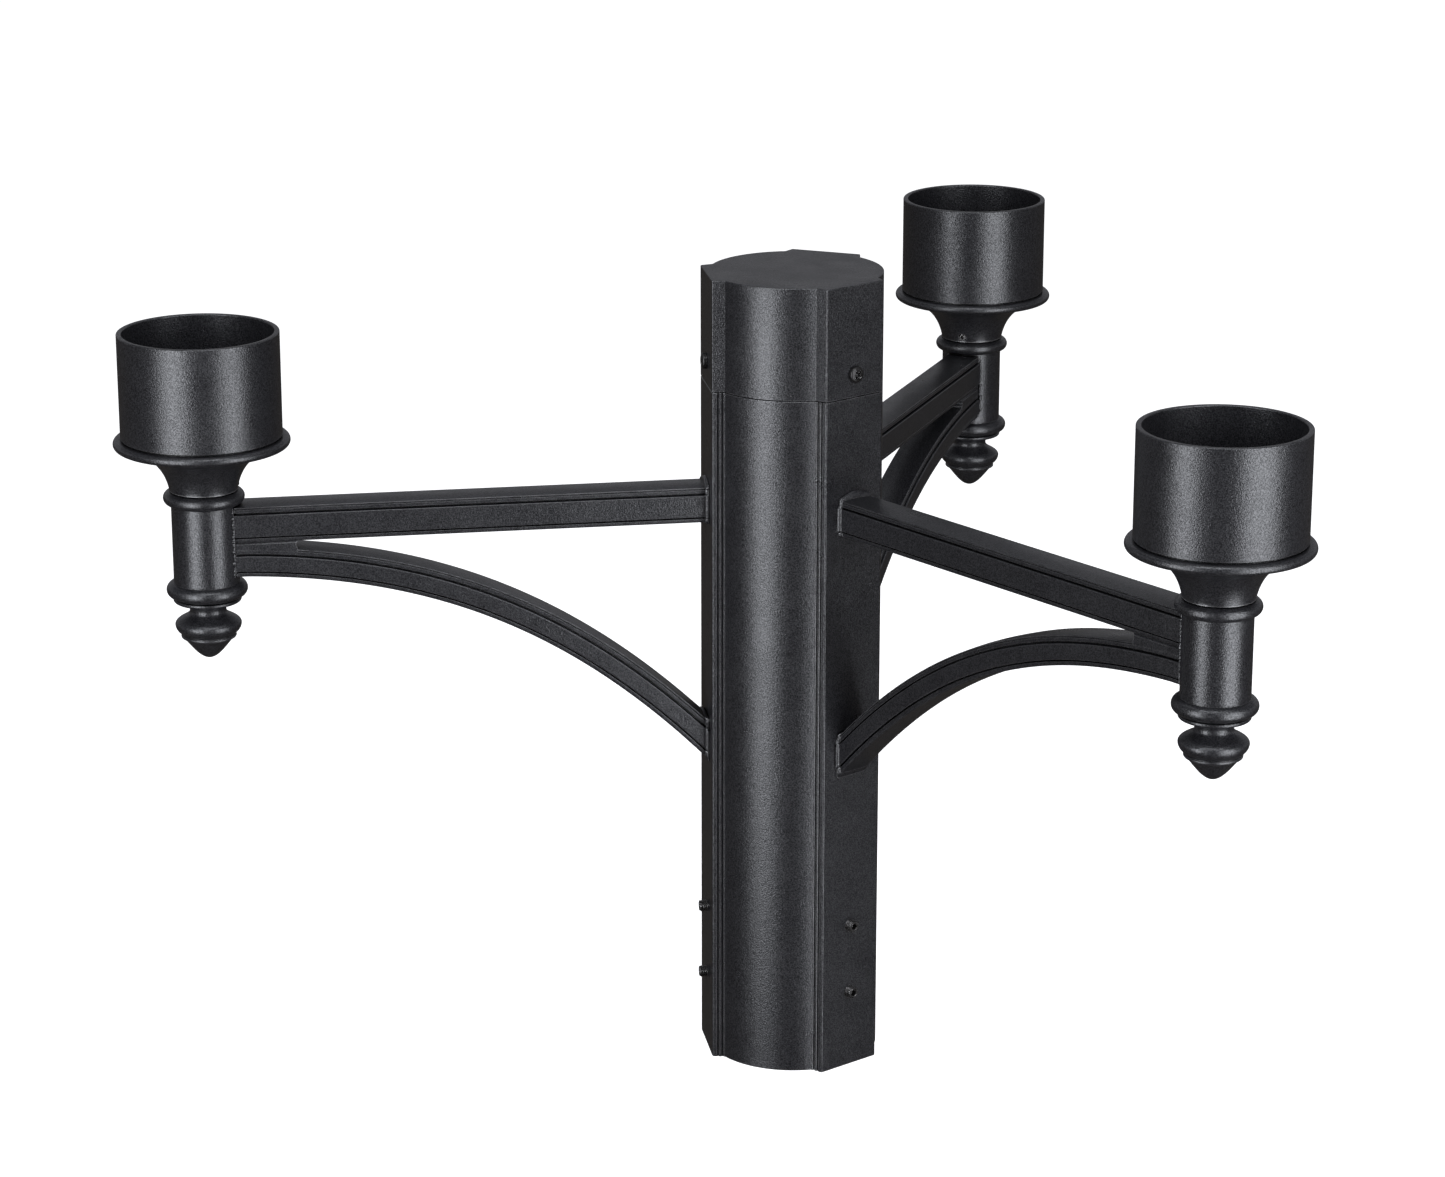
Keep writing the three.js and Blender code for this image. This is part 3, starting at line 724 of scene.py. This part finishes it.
def make_arm():
    web = make_web()
    bar_bottom = BAR_TOP - BAR_DEPTH
    end_drill = rod(SLOT_END_RADIUS, -ARM_WIDE, ARM_WIDE)
    slot_end = along_y(end_drill, WEB_START_X, bar_bottom - SLOT_END_RADIUS)
    before_slot_end = moved(
        prism(box_corners(SLOT_BLOCK, ARM_WIDE), -ARM_WIDE, ARM_WIDE),
        Matrix.Translation((WEB_START_X - SLOT_BLOCK, 0, bar_bottom - SLOT_BLOCK_DROP)),
    )
    web = cut(web, slot_end, before_slot_end)
    sleeve_drill = rod(SLEEVE_RADIUS + SLEEVE_GAP, BRACE_END.y, 0, SEGMENTS)
    sleeve = moved(sleeve_drill, Matrix.Translation((CUP_AXIS_X, 0, 0)))
    wire_bore = along_x(rod(WIRE_BORE_RADIUS, FACET_X - OVERSHOOT, CUP_AXIS_X), WIRE_BORE_Z)
    return cut(join(make_bar(), make_brace(), web), sleeve, wire_bore)


def make_sleeve_weld(number):
    """Uneven bead of weld where the bar's and the brace's sides meet the sleeve."""
    top = BAR_TOP - CROWN
    bottom = BRACE_START.y - BRACE_DEPTH / 2 - SLEEVE_WELD_DROP
    wall = SLEEVE_RADIUS + SLEEVE_WELD_OFF_WALL
    round_angles = [math.tau * k / 10 for k in range(10)]
    beads = []
    for side in (-1, 1):
        rings = []
        for i in range(SLEEVE_WELD_STEPS + 1):
            share = i / SLEEVE_WELD_STEPS
            height = top + (bottom - top) * share
            swell = noise.noise(Vector((number * 7.3, side * 3.1, height * SLEEVE_WELD_RIPPLE)))
            taper = min(1, 4 * share + 0.2, 4 * (1 - share) + 0.2)
            thickness = SLEEVE_WELD_THICKNESS * (1 + SLEEVE_WELD_SWELL * swell) * taper
            across = side * (PANEL_HALF_WIDTH - SLEEVE_WELD_INSET + SLEEVE_WELD_WANDER * swell)
            centre = Vector((sleeve_wall_x(across, wall), across, height))
            spokes = [Vector((math.cos(a), math.sin(a), 0)) for a in round_angles]
            rings.append([centre + thickness * spoke for spoke in spokes])
        beads.append(skin(rings))
    return beads


# ---------- stem stack ----------


def cup_profile():
    inner = TUBE_RADIUS - TUBE_WALL
    flange_half = (FLANGE_TOP - FLANGE_BOTTOM) / 2
    bell = bezier([
        (NECK_RADIUS, CUP_BOTTOM + 0.5),
        (NECK_RADIUS + 1.6, CUP_BOTTOM + 8.5),
        (BELL_WAIST_RADIUS, FLANGE_BOTTOM - 2.3),
        (FLANGE_RADIUS - 3.2, FLANGE_BOTTOM),
    ], 24)
    flange = arc((FLANGE_RADIUS - flange_half, FLANGE_BOTTOM + flange_half), flange_half, -90, 90, 14)
    tube = rounded([
        (TUBE_RADIUS - SEAM_DEPTH, FLANGE_TOP, 0),
        (TUBE_RADIUS - SEAM_DEPTH, FLANGE_TOP + SEAM_HEIGHT, 0),
        (TUBE_RADIUS, FLANGE_TOP + SEAM_HEIGHT, 0.15),
        (TUBE_RADIUS, 0, 0.6),
        (inner, 0, 0.6),
        (inner, FLANGE_TOP + 1, 3),
        (FUNNEL_RADIUS, FLANGE_BOTTOM - 1, 4),
        (FLOOR_RADIUS + 1, CUP_FLOOR + 6, 2),
        (FLOOR_RADIUS, CUP_FLOOR, 0.4),
        (STEM_HOLE_RADIUS, CUP_FLOOR, 0.2),
        (STEM_HOLE_RADIUS, CUP_BOTTOM, 0.2),
        (NECK_RADIUS, CUP_BOTTOM, 0.4),
    ], 6)
    return tube + bell + flange


def make_lantern_cup(number):
    height = screw_height(f"neck_screw_{number}") - RIM
    drill = along_x(rod(NECK_SCREW_RADIUS + GAP, NECK_DRILL_START, NECK_DRILL_END), height)
    stand_for(f"lantern_cup_{number}", cut(lathe(cup_profile()), drill), at_cup(number))


def make_socket_sleeve(number):
    upper = SLEEVE_TOP - UPPER_COLLAR_HEIGHT
    lower = SLEEVE_BOTTOM + LOWER_COLLAR_HEIGHT
    outside = [
        *bulge(SLEEVE_BOTTOM, lower, SLEEVE_RADIUS, COLLAR_RADIUS),
        *bulge(upper, SLEEVE_TOP, SLEEVE_RADIUS, COLLAR_RADIUS),
    ]
    inside = [
        Vector((STEM_HOLE_RADIUS, SLEEVE_TOP)),
        Vector((STEM_HOLE_RADIUS, SLEEVE_TOP - SLEEVE_END)),
        Vector((SLEEVE_CAVITY, SLEEVE_TOP - SLEEVE_END)),
        Vector((SLEEVE_CAVITY, SLEEVE_BOTTOM + SLEEVE_END)),
        Vector((STEM_HOLE_RADIUS, SLEEVE_BOTTOM + SLEEVE_END)),
        Vector((STEM_HOLE_RADIUS, SLEEVE_BOTTOM)),
    ]
    wire_hole = along_x(rod(WIRE_HOLE_RADIUS, NECK_DRILL_START, NECK_DRILL_END), WIRE_BORE_Z)
    sleeve = cut(lathe(outside + inside, TURNED_SEGMENTS), wire_hole)
    stand_for(f"socket_sleeve_{number}", sleeve, at_cup(number))


def make_finial(number):
    waist = (FINIAL_NECK_RADIUS, FINIAL_NECK_Z)
    widest = (FINIAL_RADIUS, FINIAL_WIDEST_Z)
    neck = bezier([(13.4, FINIAL_DISC_BOTTOM - 0.5), (9.6, -132.3), (8.4, -134), waist], 8)
    flare = bezier([waist, (9.2, -138.8), (15.9, -139.6), widest], 14)
    belly = bezier([widest, (15.7, -144.6), (14.6, -146.1), (12.7, -147.3)], 8)
    tip = bezier([(11.9, -149.5), (8.4, -153.4), (4.6, FINIAL_TIP), (0, FINIAL_TIP)], 18)
    bore_end = STEM_BOTTOM - FINIAL_BORE_SPARE
    profile = [
        Vector((0, bore_end)),
        Vector((STEM_HOLE_RADIUS, bore_end)),
        Vector((STEM_HOLE_RADIUS, FINIAL_TOP)),
        *reversed(bulge(FINIAL_DISC_BOTTOM, FINIAL_TOP, 15, FINIAL_DISC_RADIUS)),
        *neck,
        *flare[1:],
        *belly[1:],
        Vector((12.6, -147.5)),
        *reversed(bulge(-149.2, -147.7, 12.6, FINIAL_RING_RADIUS, 6)),
        *tip,
    ]
    finial = lathe(profile, TURNED_SEGMENTS, closed=False)
    stand_for(f"finial_{number}", finial, at_cup(number))


# ---------- threads and fasteners ----------


def thread_rings(radius, pitch, bottom, top, segments, rows=8):
    """Rings of a screw thread, with both ends chamfered and so many rows to a turn."""
    depth = THREAD_DEPTH * pitch
    count = round((top - bottom) / pitch * rows)
    rings = []
    for i in range(count + 1):
        height = bottom + (top - bottom) * i / count
        from_end = min(height - bottom, top - height)
        crest_limit = radius - depth + min(depth, from_end)
        points = []
        for k in range(segments):
            turn = k / segments
            angle = math.tau * turn
            phase = (height / pitch - turn) % 1
            flank = abs(2 * phase - 1)
            crest = radius - depth * (1 - flank)
            reach = min(crest, crest_limit)
            points.append(Vector((reach * math.cos(angle), reach * math.sin(angle), height)))
        rings.append(points)
    return rings


def hexagon(across_flats, segments):
    """A hexagon with a point in each of the same directions as a circle of so many segments."""
    points = []
    for k in range(segments):
        angle = math.tau * k / segments
        reach = across_flats / 2 / math.cos(angle % (math.pi / 3) - math.pi / 6)
        points.append(Vector((reach * math.cos(angle), reach * math.sin(angle))))
    return points


def circle_ring(radius, height, segments):
    return [Vector((x, y, height)) for x, y in arc((0, 0), radius, 0, 360, segments)[:-1]]


def socket_screw(radius, pitch, length, across_flats):
    """Headless screw along +Z, its outer end at the origin, with a hexagon socket in it."""
    rings = thread_rings(radius, pitch, -length, 0, SCREW_SEGMENTS)
    socket = hexagon(across_flats, SCREW_SEGMENTS)
    rings.append(circle_ring(across_flats / 2 * 1.22, 0, SCREW_SEGMENTS))
    rings.append(ring(socket, -SOCKET_CHAMFER))
    rings.append(ring(socket, -radius))
    rings.append([Vector((0, 0, -radius - SOCKET_CONE))])
    return skin(rings)


def reach_of(node, number):
    """Nearest and farthest points of a CAD node from the column's axis, along its arm."""
    out = at_arm(number) @ Vector((1, 0, 0))
    places = [vertex.co.dot(out) / MM for vertex in frame["nodes"][node].data.vertices]
    return min(places), max(places)


def make_set_screw(number, row):
    node = f"post_set_screw_{number}_{row}"
    inner, outer = reach_of(node, number)
    screw = socket_screw(SET_SCREW_RADIUS, SET_SCREW_PITCH, outer - inner, SET_SCREW_HEX)
    in_place = Matrix.Translation((outer, 0, screw_height(node)))
    stand_for(node, moved(along_x(screw), in_place), at_arm(number))


def make_neck_screw(number):
    node = f"neck_screw_{number}"
    outer, inner = reach_of(node, number)
    screw = socket_screw(NECK_SCREW_RADIUS, SMALL_SCREW_PITCH, inner - outer, NECK_SCREW_HEX)
    in_place = Matrix.Translation((outer, 0, screw_height(node)))
    facing_column = in_place @ Matrix.Rotation(math.pi, 4, "Z")
    stand_for(node, moved(along_x(screw), facing_column), at_arm(number))


def make_cap_screw(number):
    """Pan-head screw with a cross recess, shaped along +Z with its head's seat at the origin."""
    node = f"cap_screw_{number}"
    tip, head_top = reach_of(node, number)
    head_height = head_top - CAP_SCREW_SEAT
    length = CAP_SCREW_SEAT - tip
    rings = thread_rings(CAP_SCREW_RADIUS, SMALL_SCREW_PITCH, -length, 0, SCREW_SEGMENTS)
    rings.append(circle_ring(CAP_SCREW_HEAD_RADIUS - CAP_SCREW_EDGE, 0, SCREW_SEGMENTS))
    rings.append(circle_ring(CAP_SCREW_HEAD_RADIUS, CAP_SCREW_EDGE, SCREW_SEGMENTS))
    dome_steps = 7
    for i in range(dome_steps):
        angle = math.pi / 2 * i / dome_steps
        radius = CAP_SCREW_HEAD_RADIUS * math.cos(angle) ** CAP_SCREW_ROUNDNESS
        height = head_height + CAP_SCREW_DOME * (math.sin(angle) - 1)
        rings.append(circle_ring(radius, height, SCREW_SEGMENTS))
    rings.append([Vector((0, 0, head_height))])
    mouth = box_corners(RECESS_HALF_LENGTH, RECESS_HALF_WIDTH)
    floor = box_corners(RECESS_HALF_LENGTH / 2, RECESS_HALF_WIDTH * 0.7)
    slots = []
    for turn in (math.pi / 4, 3 * math.pi / 4):
        blade = skin([ring(floor, head_height - RECESS_DEPTH), ring(mouth, head_height + 0.3)])
        slots.append(moved(blade, Matrix.Rotation(turn, 4, "Z")))
    screw = cut(skin(rings), *slots)
    in_place = Matrix.Translation((CAP_SCREW_SEAT, 0, screw_height(node)))
    stand_for(node, moved(along_x(screw), in_place), at_arm(number))


def make_stem_tube(number):
    segments = 32
    rings = thread_rings(STEM_RADIUS, STEM_PITCH, STEM_BOTTOM, STEM_TOP, segments, rows=6)
    rings.append(circle_ring(STEM_BORE_RADIUS, STEM_TOP, segments))
    rings.append(circle_ring(STEM_BORE_RADIUS, STEM_BOTTOM, segments))
    wire_hole = along_x(rod(STEM_WIRE_HOLE_RADIUS, -2 * OVERSHOOT, 0, segments), WIRE_BORE_Z)
    stand_for(f"stem_tube_{number}", cut(skin(rings, closed=True), wire_hole), at_cup(number))


def make_stem_nut(number):
    segments = 48
    flats = hexagon(NUT_ACROSS_FLATS, segments)
    face_radius = NUT_ACROSS_FLATS / 2 - 0.2
    mouth_radius = STEM_HOLE_RADIUS + NUT_MOUTH
    drop = [(point.length - face_radius) * math.tan(NUT_CHAMFER_ANGLE) for point in flats]
    rings = [
        circle_ring(mouth_radius, NUT_BOTTOM, segments),
        circle_ring(face_radius, NUT_BOTTOM, segments),
        [Vector((point.x, point.y, NUT_BOTTOM + fall)) for point, fall in zip(flats, drop)],
        [Vector((point.x, point.y, NUT_TOP - fall)) for point, fall in zip(flats, drop)],
        circle_ring(face_radius, NUT_TOP, segments),
        circle_ring(mouth_radius, NUT_TOP, segments),
        circle_ring(STEM_HOLE_RADIUS, NUT_TOP - NUT_MOUTH, segments),
        circle_ring(STEM_HOLE_RADIUS, NUT_BOTTOM + NUT_MOUTH, segments),
    ]
    stand_for(f"stem_nut_{number}", skin(rings, closed=True), at_cup(number))


def make_stem_washer(number):
    profile = rounded([
        (STEM_HOLE_RADIUS, WASHER_BOTTOM, 0.2),
        (WASHER_RADIUS, WASHER_BOTTOM, 0.4),
        (WASHER_RADIUS, WASHER_TOP, 0.4),
        (STEM_HOLE_RADIUS, WASHER_TOP, 0.2),
    ])
    stand_for(f"stem_washer_{number}", lathe(profile, 64), at_cup(number))


# ---------- materials ----------


class Shader:
    """A material's node tree, with short calls to add a node and join its sockets."""

    def __init__(self, name):
        self.material = bpy.data.materials.new(name)
        self.material.use_nodes = True
        self.nodes = self.material.node_tree.nodes
        self.links = self.material.node_tree.links
        self.surface = self.nodes["Principled BSDF"]
        self.place = self.add("ShaderNodeTexCoord").outputs["Object"]

    def add(self, kind, inputs=None, **settings):
        node = self.nodes.new(kind)
        for name, value in settings.items():
            setattr(node, name, value)
        for name, value in (inputs or {}).items():
            self.feed(node.inputs[name], value)
        return node

    def feed(self, socket, value):
        if isinstance(value, bpy.types.NodeSocket):
            self.links.new(value, socket)
        else:
            socket.default_value = value

    def noise(self, scale, detail=2, roughness=0.5, where=None):
        inputs = {"Scale": scale, "Detail": detail, "Roughness": roughness}
        inputs["Vector"] = where or self.place
        return self.add("ShaderNodeTexNoise", inputs).outputs["Fac"]

    def ramp(self, value, low, high, to_low=0.0, to_high=1.0):
        inputs = {"Value": value, "From Min": low, "From Max": high}
        inputs |= {"To Min": to_low, "To Max": to_high}
        return self.add("ShaderNodeMapRange", inputs).outputs["Result"]

    def math(self, operation, first, second=0.0):
        return self.add("ShaderNodeMath", {0: first, 1: second}, operation=operation).outputs[0]

    def blend(self, share, first, second):
        node = self.add("ShaderNodeMix", data_type="RGBA")
        self.feed(node.inputs["Factor"], share)
        self.feed(node.inputs["A"], first)
        self.feed(node.inputs["B"], second)
        return node.outputs["Result"]

    def edge(self, radius):
        """1 on an edge that a hand or a tool would touch, 0 on open faces; on the coat it also carries a painted
        edge highlight.
        """
        soft = self.add("ShaderNodeBevel", {"Radius": radius}, samples=4).outputs["Normal"]
        true = self.add("ShaderNodeNewGeometry").outputs["True Normal"]
        compare = self.add("ShaderNodeVectorMath", {0: soft, 1: true}, operation="DOT_PRODUCT")
        return self.ramp(compare.outputs["Value"], 0.99, 0.8)

    def painted_crevice_shade(self, distance):
        """A factor for painting shade into crevices: 1 on open faces, 0 deep in a crevice."""
        share = self.add("ShaderNodeAmbientOcclusion", {"Distance": distance}, samples=8).outputs["AO"]
        return self.ramp(share, 0.25, 0.8)

    def bump(self, height, distance):
        inputs = {"Height": height, "Distance": distance}
        return self.add("ShaderNodeBump", inputs).outputs["Normal"]

    def finish(self, **inputs):
        for name, value in inputs.items():
            self.feed(self.surface.inputs[name.replace("_", " ")], value)
        return self.material


def grey(value, warmth=0.0):
    return (value * (1 + warmth), value, value * (1 - warmth), 1)


# Colours of the coat: low and high in its grain, along edges for wear and a painted highlight, on specks, and
# painted shade deep in crevices.
COAT_LOW = (0.004, 0.004, 0.0046, 1)
COAT_HIGH = (0.0145, 0.0144, 0.016, 1)
COAT_WORN_AND_HIGHLIT = (0.11, 0.108, 0.108, 1)
COAT_SPECK = (0.16, 0.155, 0.15, 1)
COAT_PAINTED_SHADE = (0.001, 0.001, 0.001, 1)


def powder_coat():
    """Satin black coat with a fine pebbled grain, lighter and glossier along edges from wear and a painted
    highlight, with painted shade darkening its colour and gloss in crevices.
    """
    shader = Shader("powder_coat")
    pebbles = shader.noise(1700, detail=1.0, roughness=0.4)
    pits = shader.noise(520, detail=1)
    height = shader.math("ADD", pebbles, shader.math("MULTIPLY", pits, 0.3))
    grain = shader.noise(1600, detail=1.0, roughness=0.5)
    base = shader.blend(shader.ramp(grain, 0.35, 0.65), COAT_LOW, COAT_HIGH)
    patches = shader.ramp(shader.noise(160, 3), 0.3, 0.7, 0.4, 1)
    # Edge wear and a painted highlight: edges are lightened and made glossier, in patches.
    wear_and_highlight = shader.math("MULTIPLY", shader.edge(0.0005), patches)
    worn_and_highlit = shader.blend(wear_and_highlight, base, COAT_WORN_AND_HIGHLIT)
    cells = shader.add("ShaderNodeTexVoronoi", {"Vector": shader.place, "Scale": 150.0})
    speck = shader.math("LESS_THAN", cells.outputs["Distance"], 0.028)
    chosen = shader.math("GREATER_THAN", cells.outputs["Color"], 0.83)
    dusty = shader.blend(shader.math("MULTIPLY", speck, chosen), worn_and_highlit, COAT_SPECK)
    # Painted shade: colour and gloss are darkened in crevices by ambient occlusion.
    painted_shade_factor = shader.painted_crevice_shade(0.0016)
    gloss = shader.math("MULTIPLY", shader.ramp(grain, 0.35, 0.65, 0.33, 0.72), painted_shade_factor)
    return shader.finish(
        Base_Color=shader.blend(painted_shade_factor, COAT_PAINTED_SHADE, dusty),
        Roughness=shader.ramp(shader.noise(60, 4), 0.3, 0.7, 0.27, 0.34),
        Specular_IOR_Level=shader.math("ADD", gloss, shader.math("MULTIPLY", wear_and_highlight, 1.6)),
        Normal=shader.bump(height, 0.00012),
    )


STEEL_DARK = (0.02, 0.0195, 0.0195, 1)
STEEL_LIGHT = (0.045, 0.043, 0.042, 1)
STEEL_RUBBED = (0.50, 0.49, 0.48, 1)


def black_steel():
    """Blackened steel, rubbed bright along its edges."""
    shader = Shader("black_steel")
    blotches = shader.noise(700, detail=4)
    colour = shader.blend(blotches, STEEL_DARK, STEEL_LIGHT)
    rubbing = shader.math("MULTIPLY", shader.edge(0.0002), 0.9)
    rubbed = shader.blend(rubbing, colour, STEEL_RUBBED)
    return shader.finish(
        Base_Color=rubbed,
        Metallic=0.85,
        Roughness=shader.ramp(blotches, 0.3, 0.7, 0.26, 0.42),
        Normal=shader.bump(shader.noise(3000, 2), 0.00002),
    )


def zinc_steel():
    """Zinc-plated steel, with the faint flakes of its plating."""
    shader = Shader("zinc_steel")
    cells = shader.add("ShaderNodeTexVoronoi", {"Vector": shader.place, "Scale": 520.0})
    colour = shader.blend(cells.outputs["Distance"], grey(0.46, 0.01), grey(0.62, -0.015))
    return shader.finish(
        Base_Color=colour,
        Metallic=1.0,
        Roughness=shader.ramp(shader.noise(420, 4), 0.3, 0.7, 0.24, 0.42),
        Normal=shader.bump(shader.noise(2600, 2), 0.00002),
    )


def bare_aluminium():
    """Bare aluminium with fine turning lines round the column's axis."""
    shader = Shader("bare_aluminium")
    stretch = shader.add("ShaderNodeMapping", {"Vector": shader.place, "Scale": (90.0, 90.0, 4200.0)})
    lines = shader.noise(1.0, 4, where=stretch.outputs["Vector"])
    colour = shader.blend(shader.noise(70, 3), grey(0.5, 0.01), grey(0.64, 0.0))
    return shader.finish(
        Base_Color=colour,
        Metallic=1.0,
        Roughness=shader.ramp(lines, 0.3, 0.7, 0.28, 0.46),
        Normal=shader.bump(lines, 0.00003),
    )


def floor_material():
    """Pale floor: near white to the camera, darker in the object's reflections."""
    shader = Shader("floor")
    tone = shader.blend(shader.noise(3, 3), (0.80, 0.80, 0.80, 1), (0.84, 0.84, 0.84, 1))
    shader.finish(Base_Color=tone, Roughness=0.8)
    glow = shader.add("ShaderNodeEmission", {"Color": (1, 1, 1, 1), "Strength": FLOOR_GLOW})
    dim = shader.add("ShaderNodeBsdfDiffuse", {"Color": (0.30, 0.29, 0.275, 1)})
    seen = shader.add("ShaderNodeLightPath").outputs["Is Camera Ray"]
    lit = shader.add("ShaderNodeAddShader", {0: shader.surface.outputs[0], 1: glow.outputs[0]})
    mixed = shader.add("ShaderNodeMixShader", {0: seen, 1: dim.outputs[0], 2: lit.outputs[0]})
    output = next(node for node in shader.nodes if node.type == "OUTPUT_MATERIAL")
    shader.links.new(mixed.outputs[0], output.inputs["Surface"])
    return shader.material


MATERIALS = {
    "powder_coat": powder_coat(),
    "black_steel": black_steel(),
    "zinc_steel": zinc_steel(),
    "bare_aluminium": bare_aluminium(),
}

# ---------- studio ----------

# The camera looks down a little at the side of the object between arm 2 and arm 3.
CAMERA_PLACE = Vector((0.6508, -1.8147, 0.6822))
CAMERA_HEADING = math.radians(20.77)  # turned from +Y towards -X
CAMERA_TILT = math.radians(16.9)  # below the horizon
CAMERA_LENS = 102.9
CAMERA_SENSOR_WIDTH = 36
LAMP_COLOUR = (0.914, 0.94, 1.0)
FLOOR_GLOW = 0.88
FLOOR_REACH = 8.0
FLOOR_GAP = 0.0002  # under the column's foot


def make_camera():
    data = bpy.data.cameras.new("camera")
    data.lens = CAMERA_LENS
    data.sensor_width = CAMERA_SENSOR_WIDTH
    camera = bpy.data.objects.new("camera", data)
    camera.location = CAMERA_PLACE
    camera.rotation_euler = (math.pi / 2 - CAMERA_TILT, 0, CAMERA_HEADING)
    bpy.context.scene.collection.objects.link(camera)
    bpy.context.scene.camera = camera


def make_rig():
    """An upright axis through the object that turns with the camera, so that the lights do too."""
    rig = bpy.data.objects.new("light_rig", None)
    rig.location = (CAD_LOW + CAD_HIGH) / 2
    bpy.context.scene.collection.objects.link(rig)
    follow = rig.constraints.new("LOCKED_TRACK")
    follow.target = bpy.context.scene.camera
    follow.track_axis = "TRACK_NEGATIVE_Y"
    follow.lock_axis = "LOCK_Z"
    return rig


def softbox(rig, name, spot, tilt, width, length, radiance):
    """A soft lamp. Its spot is its heading in degrees to the camera's right, its distance from
    the rig's axis and its height over the rig; tilt is 0 for an upright lamp and 90 for one that
    faces down."""
    heading, distance, height = spot
    angle = math.radians(heading)
    data = bpy.data.lights.new(name, "AREA")
    data.shape = "RECTANGLE"
    data.size = width
    data.size_y = length
    data.energy = radiance * math.pi * width * length
    data.color = LAMP_COLOUR
    lamp = bpy.data.objects.new(name, data)
    lamp.parent = rig
    lamp.visible_camera = False
    lamp.location = (distance * math.sin(angle), -distance * math.cos(angle), height)
    lamp.rotation_euler = (math.radians(90 - tilt), 0, angle)
    bpy.context.scene.collection.objects.link(lamp)


def make_lights():
    rig = make_rig()
    softbox(rig, "left_box", (-38, 1.14, 0.18), 0, 0.54, 1.32, 6.8)
    softbox(rig, "right_box", (40.5, 1.14, 0.04), 0, 0.68, 1.6, 6.1)
    softbox(rig, "front_box", (0, 0.8, 1.35), 60, 1.2, 0.5, 5.0)
    softbox(rig, "top_box", (0, 0.0, 1.6), 90, 2.0, 2.0, 0.6)


# The room that the object reflects, from straight down (-1) to straight up (1).
ROOM_TONES = [
    (-0.12, (0.052, 0.046, 0.040)),
    (0.19, (0.40, 0.403, 0.43)),
    (0.25, (0.40, 0.403, 0.43)),
    (0.40, (0.12, 0.122, 0.134)),
]


def make_world():
    """White to the camera; to the object a room that is brightest a little over the horizon."""
    world = bpy.data.worlds.new("studio")
    world.use_nodes = True
    nodes = world.node_tree.nodes
    links = world.node_tree.links
    direction = nodes.new("ShaderNodeTexCoord")
    split = nodes.new("ShaderNodeSeparateXYZ")
    height = nodes.new("ShaderNodeMapRange")
    height.inputs["From Min"].default_value = -1
    tone = nodes.new("ShaderNodeValToRGB")
    while len(tone.color_ramp.elements) < len(ROOM_TONES):
        tone.color_ramp.elements.new(0.5)
    for stop, (level, colour) in zip(tone.color_ramp.elements, ROOM_TONES):
        stop.position = (level + 1) / 2
        stop.color = (*colour, 1)
    links.new(direction.outputs["Generated"], split.inputs[0])
    links.new(split.outputs["Z"], height.inputs["Value"])
    links.new(height.outputs["Result"], tone.inputs["Fac"])
    room = nodes["Background"]
    links.new(tone.outputs["Color"], room.inputs["Color"])
    backdrop = nodes.new("ShaderNodeBackground")
    backdrop.inputs["Color"].default_value = grey(1.0)
    seen = nodes.new("ShaderNodeLightPath")
    mixed = nodes.new("ShaderNodeMixShader")
    links.new(seen.outputs["Is Camera Ray"], mixed.inputs[0])
    links.new(room.outputs[0], mixed.inputs[1])
    links.new(backdrop.outputs[0], mixed.inputs[2])
    links.new(mixed.outputs[0], nodes["World Output"].inputs["Surface"])
    bpy.context.scene.world = world


def make_floor():
    height = COLUMN_BOTTOM * MM - FLOOR_GAP
    mesh = bpy.data.meshes.new("floor")
    corners = [(x, y, height) for x, y in box_corners(FLOOR_REACH, FLOOR_REACH)]
    mesh.from_pydata(corners, [], [(0, 1, 2, 3)])
    mesh.materials.append(floor_material())
    floor = bpy.data.objects.new("floor", mesh)
    floor.visible_glossy = False
    floor.visible_shadow = False
    bpy.context.scene.collection.objects.link(floor)


# ---------- the object ----------


def make_arm_pieces():
    arm = bpy.data.meshes.new("arm")
    bm = make_arm()
    bm.to_mesh(arm)
    bm.free()
    for number in ARMS:
        copy = bmesh.new()
        copy.from_mesh(arm)
        stand_for(f"arm_{number}", copy, at_rim(number))
        for side, bead in zip(("left", "right"), make_sleeve_weld(number)):
            name = f"sleeve_weld_{number}_{side}"
            place(name, bead, at_rim(number), "post_head", "powder_coat", sharp_degrees=60)
    bpy.data.meshes.remove(arm)


def make_object():
    make_column_body()
    make_top_cap()
    make_cap_spigot()
    make_post_stop()
    make_arm_pieces()
    for number in ARMS:
        make_lantern_cup(number)
        make_socket_sleeve(number)
        make_finial(number)
        make_stem_tube(number)
        make_stem_nut(number)
        make_stem_washer(number)
        make_neck_screw(number)
        make_cap_screw(number)
        for row in ("lower", "upper"):
            make_set_screw(number, row)


make_object()
make_camera()
make_lights()
make_world()
make_floor()
bpy.context.scene.view_settings.view_transform = "Standard"
